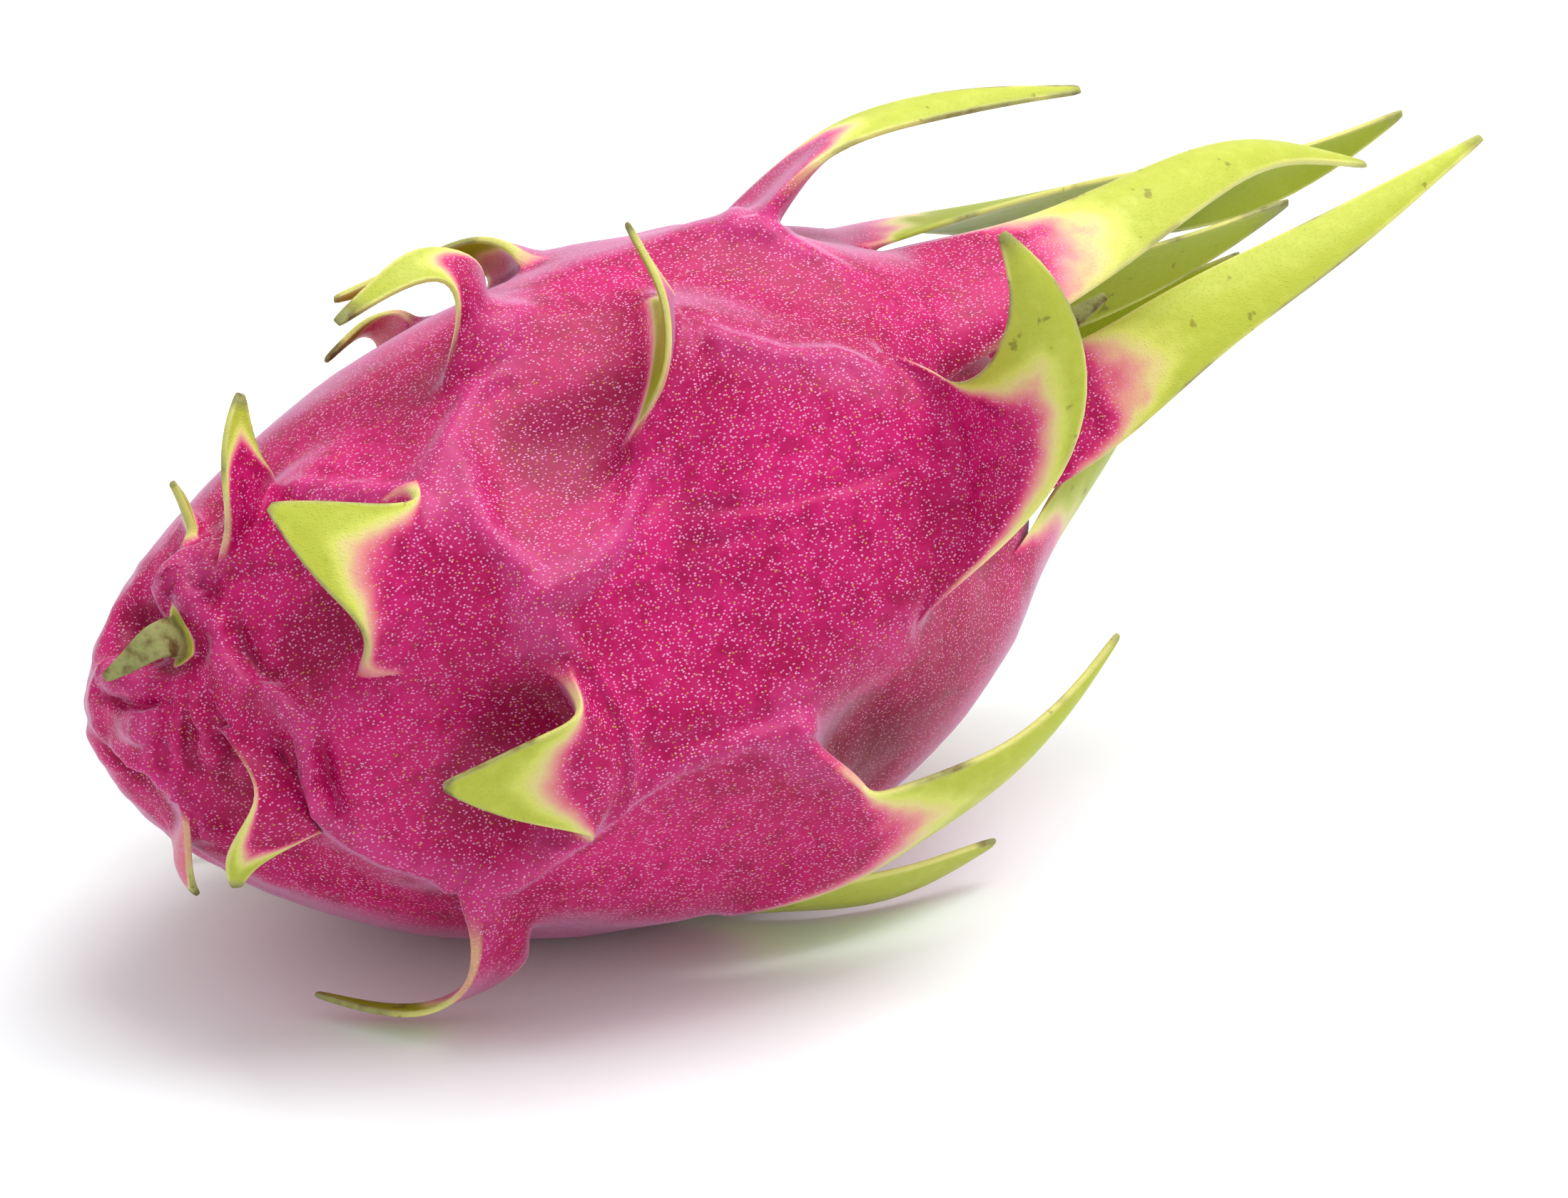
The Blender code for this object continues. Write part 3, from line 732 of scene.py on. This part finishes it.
CREASES = (
    Crease(1.0, 1.7, ((-7.5, 42), (-11, 48), (-14, 54), (-20, 58), (-27, 60), (-25.5, 67))),
    Crease(-0.5, 1.2, ((-9, 46), (-12.5, 53), (-17, 60), (-23, 64), (-23, 70))),
    Crease(0.9, 1.6, ((-24, 65), (-23.5, 70), (-21, 78), (-19.5, 86), (-20, 92), (-22, 97))),
    Crease(-1.5, 1.3, ((-44, 66), (-41, 60), (-38, 56))),
    Crease(-0.8, 1.0, ((-42.5, 72), (-40.5, 64), (-36.5, 59))),
    Crease(0.9, 1.5, ((-47, 104), (-43, 111), (-37, 114), (-35, 121))),
    Crease(0.8, 1.5, ((-35.5, 115), (-30, 113), (-26.5, 107), (-24, 101))),
    Crease(0.8, 1.3, ((-24, 101), (-19.5, 96), (-14, 92), (-5, 91), (2, 91))),
    Crease(-0.5, 1.2, ((-19, 88), (-11, 88), (1, 89))),
    Crease(0.7, 1.5, ((1, 91), (2, 96), (7, 104), (14.5, 116))),
    Crease(-0.45, 1.0, ((-7, 52), (1.5, 56), (7.5, 58), (15.5, 59), (25.5, 59))),
    Crease(-0.35, 0.9, ((-8.5, 57), (-3, 60), (4, 61.5), (11.5, 62))),
    Crease(0.8, 1.6, ((2.5, 28), (6.5, 32), (12.5, 37), (19.5, 39), (23, 44))),
    Crease(-0.7, 1.2, ((3.5, 25), (3.5, 31), (1.5, 37), (-2, 41), (-5.5, 46), (-10, 51))),
    Crease(-0.4, 1.0, ((-0.5, 44), (-4, 48), (-6.5, 51))),
    Crease(0.7, 1.6, ((28.5, -8), (21, 5), (25.5, 7))),
    Crease(0.6, 1.6, ((21, 5), (27, 14), (31, 21))),
    Crease(0.9, 1.6, ((-10, 4), (-18, 12), (-24, 20), (-30, 30))),
    Crease(0.8, 1.6, ((-26, 26), (-28, 43), (-25, 58))),
    Crease(0.7, 1.4, ((-33, 33), (-38, 22), (-42, 12))),
    # The lump over the stem's scar, the groove beside it and the scar itself.
    Crease(3.2, 3.2, ((-54.5, 8), (-55, 15))),
    Crease(-2.0, 1.2, ((-53, 6), (-53, 23), (-54, 28))),
    Crease(-2.5, 2.0, ((-59, -26), (-59.5, -8), (-60, 8))),
    # The lip under the scar, and the fold that runs below it round the end.
    Crease(2.6, 2.6, ((-63.5, -6), (-63, 23), (-61.8, 36))),
    Crease(-1.8, 0.9, ((-64.5, -10), (-63.8, 36), (-62, 51), (-60.5, 52))),
    Crease(-0.9, 1.0, ((-65.5, 168), (-63.5, 139), (-60, 114))),
    # Gathers between the lip and the cheek.
    Crease(1.6, 1.8, ((-54, 28), (-54.5, 36), (-55.5, 47), (-54, 59), (-52, 64), (-49.5, 72))),
    Crease(-1.1, 1.0, ((-53, 33), (-53.5, 45), (-52.5, 56), (-51, 60))),
    Crease(-1.2, 1.0, ((-60, 49), (-60.5, 69), (-62, 97))),
    Crease(-1.2, 0.9, ((-58.8, 52), (-59.5, 72), (-60, 99))),
    Crease(-1.2, 0.9, ((-57.5, 56), (-57, 69), (-56.5, 82), (-57.5, 96))),
    Crease(0.8, 1.0, ((-58.2, 54), (-58.3, 70), (-58.5, 92))),
    # The cheek's own pleats, and the groove along its right side.
    Crease(1.6, 1.6, ((-51.5, 65), (-49.7, 72), (-49.2, 76), (-49.2, 90), (-48, 99))),
    Crease(-1.8, 1.1, ((-48.2, 77), (-47.8, 89), (-46.3, 99))),
    Crease(-1.3, 0.8, ((-51.8, 74), (-51.8, 88), (-50.8, 97))),
    Crease(-1.2, 0.8, ((-50.4, 76), (-50.4, 88), (-49.4, 98))),
    Crease(1.2, 1.4, ((-65, 111), (-62.5, 105), (-60.5, 117), (-57.5, 125))),
)


def crease_lift(crease, places):
    """How far a crease lifts each point: it rises from nothing and fades at its ends."""
    away, share = distance_to_line(places, crease.line)
    ends = np.clip(4.0 * np.minimum(share + 0.1, 1.1 - share), 0.0, 1.0)
    return crease.height * ridge(away, crease.width) * ends


smooth_body = skin_point(stations, angles)
lift = LUMP_HEIGHT * cloud(places, LUMP_SIZE) + PIMPLE_HEIGHT * cloud(places, PIMPLE_SIZE, 5.0)
puckered = step_up(-44.0, -56.0, stations)
lift += PUCKER_HEIGHT * puckered * cloud(places / PUCKER_STRETCH, PUCKER_SIZE, 9.0)
lift += sum(crease_lift(crease, smooth_body) for crease in CREASES)
lift *= ~on_scale
places += normals * lift[:, None]
places[:, 2] = np.maximum(places[:, 2], -REST_HEIGHT)
print("lumps and creases move points by up to", round(float(np.abs(lift).max()), 2), "mm")

# %% [markdown]
# ## Setting it down
#
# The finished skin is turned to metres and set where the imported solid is: the box's middle over
# the origin and the flat spot on the floor.

# %% Place the skin
shift = np.array([-(cage_low[0] + cage_high[0]) / 2, -(cage_low[1] + cage_high[1]) / 2,
                  REST_HEIGHT])
skin.vertices.foreach_set("co", ((places + shift) * MM).astype(np.float32).ravel())
skin.update()
skin.shade_smooth()
print("skin from", (places.min(axis=0) + shift).round(1), "to", (places.max(axis=0) + shift).round(1))

# %% [markdown]
# ## Where the colours lie
#
# The skin is magenta, paler on its ridges and crimson in its hollows: partly its own tone, and
# partly painted light, a painted highlight on the ridges and painted shade in the hollows. A
# scale turns through salmon and yellow to green towards its tip and its margins, is a deeper
# green on its inner face, and some tips have dried. These shares are worked out for each point
# here and stored as attributes, so that the material can read them. Painting by hand would do
# too, but a rule follows the shape.

# %% Tables of greenness and dryness
# Each scale: where its middle starts to turn and is fully green, by share of its length, how far
# its margins are ahead of that, over how many millimetres, and how green its inner face is.
GREENING = {
    "top_strap": (0.22, 0.50, 0.15, 2.0, 0.2),
    "crown_upper_front": (0.10, 0.44, 0.05, 2.0, 0.3),
    "crown_upper_back": (0.02, 0.20, 0.10, 3.0, 0.5),
    "crown_front": (0.08, 0.34, 0.10, 3.0, 0.3),
    "crown_lower_front": (0.10, 0.50, 0.20, 2.4, 0.0),
    "crown_top_back": (0.00, 0.30, 0.10, 3.0, 0.5),
    "sail": (0.36, 0.85, 0.42, 4.5, 0.8),
    "low_strap": (0.14, 0.58, 0.20, 2.8, 0.2),
    "floor_strap": (0.05, 0.25, 0.20, 3.0, 0.5),
    "foot": (0.40, 0.72, 0.12, 1.2, 0.3),
    "belly_claw": (0.26, 0.84, 0.34, 2.6, 0.5),
    "shoulder_claw": (0.20, 0.82, 0.44, 3.0, 0.5),
    "fin": (0.50, 0.90, 0.30, 1.0, 1.0),
    "curl": (0.34, 0.64, 0.20, 1.5, 0.7),
    "back_claw": (0.10, 0.40, 0.20, 2.0, 0.5),
    "back_shoulder": (0.45, 0.90, 0.30, 1.2, 0.3),
    "brow": (0.60, 1.00, 0.42, 1.4, 0.6),
    "stem_back_tip": (0.20, 0.60, 0.30, 1.2, 0.5),
    "cheek": (0.55, 1.00, 0.42, 1.6, 0.5),
    "chin": (0.70, 1.10, 0.40, 0.8, 0.3),
    "dry_flower": (-0.90, 3.60, 0.00, 1.0, 0.0),
    "scar_flap": (-0.10, 0.05, 0.30, 3.0, 0.0),
}
USUAL_GREENING = (0.25, 0.65, 0.30, 2.5, 0.3)

# Where a dried scale starts to be dry, by share of its length.
DRYING = {
    "scar_flap": 0.0,
    "dry_flower": 0.6,
    "curl": 0.84,
    "brow": 0.86,
    "cheek": 0.86,
    "chin": 0.80,
    "back_shoulder": 0.75,
    "foot": 0.93,
    "fin": 0.90,
    "sail": 0.91,
    "top_strap": 0.95,
    "crown_lower_front": 0.95,
    "crown_upper_front": 0.94,
    "crown_top_back": 0.91,
}
USUAL_DRYING = 0.94

# The straps that stand within the flower end are a deeper green on both faces, by this share:
# a painted stand-in for the light that shines through these thin leaves.
SHINE_THROUGH_GREEN = {
    "crown_upper_back": 1.0,
    "crown_top_back": 0.9,
    "crown_back": 0.8,
    "crown_lower_front": 0.6,
}
DRYING_LENGTH = 0.10

# Heights in millimetres at which a ridge is at its palest and a hollow at its darkest, how much
# more a fine crease counts than a broad fold, and how much of its paleness a ridge keeps where
# it runs up a scale. The ridges' lightness is partly a painted highlight, and the hollows'
# darkness partly painted shade.
PALE_HEIGHT = 3.2
DEEP_HEIGHT = 2.4
CREASE_WEIGHT = 1.5
PALE_ON_SCALE = 0.3

# How far the border of the green and of the dry tips wanders, by share of a scale's length.
WANDER_SIZE = 4.0
WANDER_SEED = 21.0
GREEN_WANDER = 0.05
DRY_WANDER = 0.03
WIDTH_STEPS = 100


print(len(GREENING), "scales turn green in their own way, and", len(DRYING), "dry in theirs")

# %% Attributes of the points
half_here = np.ones(len(places))
green = np.zeros(len(places))
inside = np.zeros(len(places))
dry = np.zeros(len(places))
wander = cloud(places, WANDER_SIZE, WANDER_SEED)
for number, scale in enumerate(SCALES, 1):
    mine = owners == number
    start, full, lead, reach, lining = GREENING.get(scale.name, USUAL_GREENING)
    shares = np.linspace(0, 1, WIDTH_STEPS + 1)
    widths = np.array([half_width(scale, share) for share in shares])
    half_here = np.where(mine, widths[np.round(along * WIDTH_STEPS).astype(int)], half_here)
    from_margin = (1.0 - np.abs(across)) * half_here
    ahead_at_margin = lead * np.exp(-from_margin / reach)
    turned = step_up(start, full, along + ahead_at_margin + GREEN_WANDER * wander)
    facing_in = step_up(0.4, 0.8, inner if scale.swell > 0.0 else 1.0 - inner)
    # The straps within the flower end get the deeper green on both faces, a painted stand-in for
    # light shining through them.
    deeper = np.maximum(facing_in, SHINE_THROUGH_GREEN.get(scale.name, 0.0))
    inside = np.where(mine, deeper, inside)
    lined = lining * facing_in * step_up(0.02, 0.2, along)
    green = np.where(mine, np.maximum(turned, lined), green)
    dry_from = DRYING.get(scale.name, USUAL_DRYING)
    dried = step_up(dry_from, dry_from + DRYING_LENGTH, along + DRY_WANDER * wander)
    dry = np.where(mine, dried, dry)


def store(name, values):
    """Keeps an array as an attribute of the skin's points."""
    layer = skin.attributes.new(name, "FLOAT", "POINT")
    layer.data.foreach_set("value", np.clip(values, 0.0, 1.0).astype(np.float32))


folds_here = folding(smooth_body) + CREASE_WEIGHT * lift
hollows_here = relief(smooth_body, stations, angles) + CREASE_WEIGHT * lift
off_scale = 1.0 - step_up(0.0, 0.25, along)
store("green", green)
store("inside", inside)
store("dry", dry)
thin_line = step_up(0.5, 0.1, (1.0 - np.abs(across)) * half_here)
store("rim", thin_line * step_up(0.05, 0.2, along) * on_scale)
# Ridges lighter and hollows crimson: partly the skin's own tone, partly a painted highlight on the
# ridges and painted shade in the hollows.
paleness = PALE_ON_SCALE + (1.0 - PALE_ON_SCALE) * off_scale
store("pale", step_up(0.3, PALE_HEIGHT, folds_here) * paleness)
store("deep", step_up(0.0, -DEEP_HEIGHT, hollows_here) * off_scale)
print("green over", round(float((green > 0.5).mean() * 100)), "% of the points")

# %% [markdown]
# ## A small kit for materials
#
# Node trees read better as plain sums. A Wire wraps one socket, so that adding or multiplying
# two wires adds the Math node that does it. A Board adds every other node.

# %% Wire and Board


class Wire:
    """A socket that can be used in plain arithmetic."""

    def __init__(self, board, socket):
        self.board = board
        self.socket = socket

    def maths(self, operation, *values, clamp=False):
        settings = {"operation": operation, "use_clamp": clamp}
        return self.board.add("Math", settings, dict(enumerate(values)))[0]

    def __add__(self, other):
        return self.maths("ADD", self, other)

    def __sub__(self, other):
        return self.maths("SUBTRACT", self, other)

    def __rsub__(self, other):
        return self.maths("SUBTRACT", other, self)

    def __mul__(self, other):
        return self.maths("MULTIPLY", self, other)

    __radd__ = __add__
    __rmul__ = __mul__

    def clamped(self):
        return self.maths("MULTIPLY", self, 1.0, clamp=True)

    def step(self, low, high):
        """0 below low, 1 above high, and a gentle step between."""
        node = self.board.add("MapRange", {"interpolation_type": "SMOOTHSTEP"},
                              {"Value": self, "From Min": low, "From Max": high})
        return node["Result"]


class Outputs:
    """The outputs of a node as wires, by name or number."""

    def __init__(self, board, node):
        self.board = board
        self.node = node

    def __getitem__(self, key):
        return Wire(self.board, self.node.outputs[key])


class Board:
    """The node tree of a new material."""

    def __init__(self, name):
        self.material = bpy.data.materials.new(name)
        self.material.use_nodes = True
        self.tree = self.material.node_tree
        self.shader = self.tree.nodes["Principled BSDF"]

    def add(self, kind, settings=None, sockets=None):
        """A new node with its settings, and the values or links of its sockets."""
        node = self.tree.nodes.new("ShaderNode" + kind)
        for name, value in (settings or {}).items():
            if name == "stops":
                self.set_stops(node.color_ramp, value)
            else:
                setattr(node, name, value)
        self.plug(node, sockets or {})
        return Outputs(self, node)

    def set_stops(self, ramp, stops):
        while len(ramp.elements) < len(stops):
            ramp.elements.new(1.0)
        for element, (position, colour) in zip(ramp.elements, stops):
            element.position = position
            element.color = (*colour, 1.0)

    def plug(self, node, sockets):
        for name, value in sockets.items():
            if isinstance(value, Wire):
                self.tree.links.new(value.socket, node.inputs[name])
            else:
                node.inputs[name].default_value = value

    def attribute(self, name):
        return self.add("Attribute", {"attribute_name": name})["Fac"]

    def mix(self, share, first, second):
        """A mix of two colours, each a wire or three numbers."""
        colours = [value if isinstance(value, Wire) else (*value, 1.0) for value in (first, second)]
        node = self.add("Mix", {"data_type": "RGBA"}, {0: share, 6: colours[0], 7: colours[1]})
        return node[2]

    def finish(self, **sockets):
        """Sets the Principled shader's sockets, with spaces for underscores."""
        self.plug(self.shader, {name.replace("_", " "): value for name, value in sockets.items()})
        return self.material


print("material kit ready")

# %% [markdown]
# ## The skin's material
#
# Base colour runs from crimson in the hollows to light pink on the ridges, and from pink to
# green by the stored share, all broken up by noise. The crimson is partly the skin's own colour
# and partly painted shade, the light pink partly its own tone and partly a painted highlight.
# Over it lie light flecks less than a millimetre apart, drawn out along the fruit; a few are
# yellow or olive. Where the skin turns away from the eye, a lilac sheen is painted in: a painted
# reflection of light off the wax bloom. The straps within the flower end get a deeper green on
# both faces, painted in for the light that shines through them. A picture wrapped round the
# fruit would need seams, and noise in the object's own coordinates has none and stays sharp
# close up.

# %% Colours of the skin


def colour(red, green_part, blue):
    """A colour as the eye knows it, from 0 to 255, in the shader's own linear numbers."""
    shares = (value / 255 for value in (red, green_part, blue))
    return tuple(v / 12.92 if v <= 0.04045 else ((v + 0.055) / 1.055) ** 2.4 for v in shares)


CRIMSON = colour(136, 0, 56)
MAGENTA = colour(162, 2, 76)
ROSE = colour(188, 18, 100)
PALE_PINK = colour(202, 84, 152)
# The lilac of a painted sheen: light reflected off the wax bloom where the skin turns from the eye.
BLOOM_SHEEN = colour(196, 150, 186)
FLECK = colour(232, 158, 204)
OLIVE_FLECK = colour(196, 160, 70)
CREAM = colour(232, 222, 150)
DEEP_GREEN = colour(140, 152, 6)
DRY_OLIVE = colour(140, 142, 88)
DRY_BROWN = colour(92, 66, 34)

GREEN_STOPS = (
    (0.0, MAGENTA),
    (0.22, colour(200, 56, 110)),
    (0.42, colour(214, 142, 132)),
    (0.62, colour(212, 196, 128)),
    (0.80, colour(200, 204, 94)),
    (1.0, colour(172, 180, 62)),
)

print(len(GREEN_STOPS), "colours from the body to a green tip")

# %% Skin material
# Flecks for each metre along the fruit, across it and up; a fleck's faint edge and its full
# middle by share of its cell, and the chance above which a fleck is olive.
FLECKS_PER_METRE = (1900.0, 2700.0, 2700.0)
FLECK_EDGE = 0.36
FLECK_CORE = 0.20
FLECK_FAINTEST = 0.6
OLIVE_CHANCE = 0.86

# Lumps of colour for each metre, in broad patches and in fine grain.
PATCHES_PER_METRE = 55.0
GRAINS_PER_METRE = 420.0

GRAIN_DEPTH = 0.0006
SHINE = 0.17


def add_flecks(board, place):
    """Small pale dots: their strength, and which of them are olive."""
    stretched = board.add("Mapping", {"vector_type": "POINT"},
                          {"Vector": place, "Scale": FLECKS_PER_METRE})["Vector"]
    cells = board.add("TexVoronoi", {"feature": "F1"},
                      {"Vector": stretched, "Scale": 1.0, "Randomness": 0.9})
    chance = board.add("SeparateColor", {}, {"Color": cells["Color"]})
    strength = FLECK_FAINTEST + chance["Red"] * (1.0 - FLECK_FAINTEST)
    spot = cells["Distance"].step(FLECK_EDGE, FLECK_CORE) * strength
    return spot, chance["Green"].step(OLIVE_CHANCE, OLIVE_CHANCE + 0.02)


def add_cloud(board, place, scale, detail):
    """Noise from 0 to 1 in the object's own coordinates."""
    return board.add("TexNoise", {}, {"Vector": place, "Scale": scale, "Detail": detail})[0]


def make_skin():
    """The leathery skin, from its base colour to its grain."""
    board = Board("fruit_skin")
    place = board.add("TexCoord")["Object"]
    broad = add_cloud(board, place, PATCHES_PER_METRE, 3.0)
    fine = add_cloud(board, place, GRAINS_PER_METRE, 4.0)
    pale = board.attribute("pale")
    deep = board.attribute("deep")
    ripe = board.attribute("green")
    dry = board.attribute("dry")
    away = board.add("LayerWeight", {}, {"Blend": 0.5})["Facing"]

    body = board.mix(broad.step(0.35, 0.68), MAGENTA, ROSE)
    # Crimson in the hollows: partly the skin's own colour, partly painted shade.
    body = board.mix(deep.step(0.1, 0.9) * 0.7, body, CRIMSON)
    body = board.mix(fine.step(0.52, 0.34) * 0.5, body, CRIMSON)
    # Light pink on the ridges: partly random tone, partly a painted highlight.
    body = board.mix((pale * 0.26 + (fine - 0.5) * 0.4).clamped(), body, PALE_PINK)
    mottled = ripe + (fine - 0.5) * 0.22
    leaf = board.add("ValToRGB", {"stops": GREEN_STOPS}, {0: mottled})["Color"]
    # The deeper green of inner faces, and on both faces of the straps within the flower end a painted
    # stand-in for light shining through them.
    lined = board.attribute("inside") * ripe.step(0.55, 0.9) * broad.step(0.15, 0.50)
    leaf = board.mix(lined * 0.9, leaf, DEEP_GREEN)
    base = board.mix(mottled.step(0.02, 0.22), body, leaf)

    spot, is_olive = add_flecks(board, place)
    fleck = board.mix(is_olive, FLECK, OLIVE_FLECK)
    base = board.mix(spot * 0.9 * (1.0 - ripe.step(0.25, 0.6)), base, fleck)
    # A painted sheen, the light off the wax bloom, lies over the skin where it turns away from the
    # eye.
    base = board.mix(away.step(0.55, 1.0) * 0.58 * (1.0 - ripe), base, BLOOM_SHEEN)
    base = board.mix(board.attribute("rim") * 0.45, base, CREAM)

    worn = board.mix(fine.step(0.30, 0.55), DRY_BROWN, DRY_OLIVE)
    scorched = board.attribute("rim") * ripe * broad.step(0.49, 0.58)
    base = board.mix((dry + scorched * 0.8).clamped(), base, worn)
    speckled = fine.step(0.66, 0.72) * ripe.step(0.7, 1.0)
    base = board.mix(speckled * 0.5, base, DRY_BROWN)

    height = fine * 0.5 + spot * 0.25 + broad * 0.5 + fine * dry * 1.5
    bump = board.add("Bump", {}, {"Height": height, "Strength": 0.4, "Distance": GRAIN_DEPTH})
    return board.finish(Base_Color=base, Roughness=0.30 + fine * 0.20 + dry * 0.30,
                        Normal=bump["Normal"], Specular_IOR_Level=SHINE,
                        Subsurface_Weight=0.06, Subsurface_Scale=0.002)


skin.materials.append(make_skin())
print("skin material has", len(skin.materials[0].node_tree.nodes), "nodes")

# %% [markdown]
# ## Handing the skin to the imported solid
#
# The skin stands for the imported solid, which stays for collision. It rides on the one body.

# %% Ride and replace
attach(fruit, "root")
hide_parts("dragon_fruit")

# %% [markdown]
# ## Floor, light and camera
#
# A pale floor that takes a soft shadow, a large lamp above, a smaller one to the right, and a
# long lens that looks at the fruit from its front left, a little from above. An empty white
# background would be simpler, but the fruit would then seem to float.

# %% Studio
VIEW_TURN = -35.0
VIEW_RISE = 23.0
VIEW_DISTANCE = 0.5
VIEW_ASIDE = 0.0254
VIEW_UP = -0.0003
LENS = 90.0

FLOOR_COLOUR = (0.87, 0.91, 0.915, 1.0)
FLOOR_HALF = 3.0
SKY_STRENGTH = 0.82

# Lamps: name, place, size and power. Both look at the middle of the fruit.
LAMPS = (
    ("key", (0.14, 0.0, 0.66), 0.5, 4.1),
    ("window", (0.42, -0.30, 0.62), 0.22, 1.2),
)
LAMP_TARGET = (-0.02, 0.0, 0.04)

scene = bpy.context.scene
scene.view_settings.view_transform = "Standard"


def make_floor():
    """A flat sheet under the fruit."""
    sheet = bmesh.new()
    bmesh.ops.create_grid(sheet, x_segments=4, y_segments=4, size=FLOOR_HALF)
    mesh = bpy.data.meshes.new("floor")
    sheet.to_mesh(mesh)
    sheet.free()
    floor = bpy.data.objects.new("floor", mesh)
    scene.collection.objects.link(floor)
    board = Board("pale_floor")
    mesh.materials.append(board.finish(Base_Color=FLOOR_COLOUR, Roughness=0.6))
    return floor


def add_lamp(name, place, size, watts):
    """A square lamp at a place, turned to the fruit."""
    lamp = bpy.data.lights.new(name, "AREA")
    lamp.size = size
    lamp.energy = watts
    thing = bpy.data.objects.new(name, lamp)
    scene.collection.objects.link(thing)
    turn = (Vector(LAMP_TARGET) - Vector(place)).to_track_quat("-Z", "Y")
    thing.matrix_world = Matrix.Translation(Vector(place)) @ turn.to_matrix().to_4x4()


def add_camera():
    """A camera on a circle round the fruit, at the photograph's angle."""
    turn = math.radians(VIEW_TURN)
    rise = math.radians(VIEW_RISE)
    back = Vector((math.sin(turn) * math.cos(rise), -math.cos(turn) * math.cos(rise),
                   math.sin(rise)))
    right = Vector((math.cos(turn), math.sin(turn), 0.0))
    up = back.cross(right)
    target = right * VIEW_ASIDE + up * VIEW_UP + Vector(shift * MM)
    lens = bpy.data.cameras.new("camera")
    lens.lens = LENS
    lens.clip_start = 0.01
    camera = bpy.data.objects.new("camera", lens)
    scene.collection.objects.link(camera)
    axes = Matrix((right, up, back)).transposed().to_4x4()
    camera.matrix_world = Matrix.Translation(target + back * VIEW_DISTANCE) @ axes
    scene.camera = camera


def add_world():
    """An even white sky that fills the shadows."""
    world = bpy.data.worlds.new("studio")
    scene.world = world
    world.use_nodes = True
    background = world.node_tree.nodes["Background"]
    background.inputs["Color"].default_value = (1.0, 1.0, 1.0, 1.0)
    background.inputs["Strength"].default_value = SKY_STRENGTH


make_floor()
for row in LAMPS:
    add_lamp(*row)
add_camera()
add_world()
print(len(LAMPS), "lamps, and a camera", VIEW_DISTANCE, "metres away")
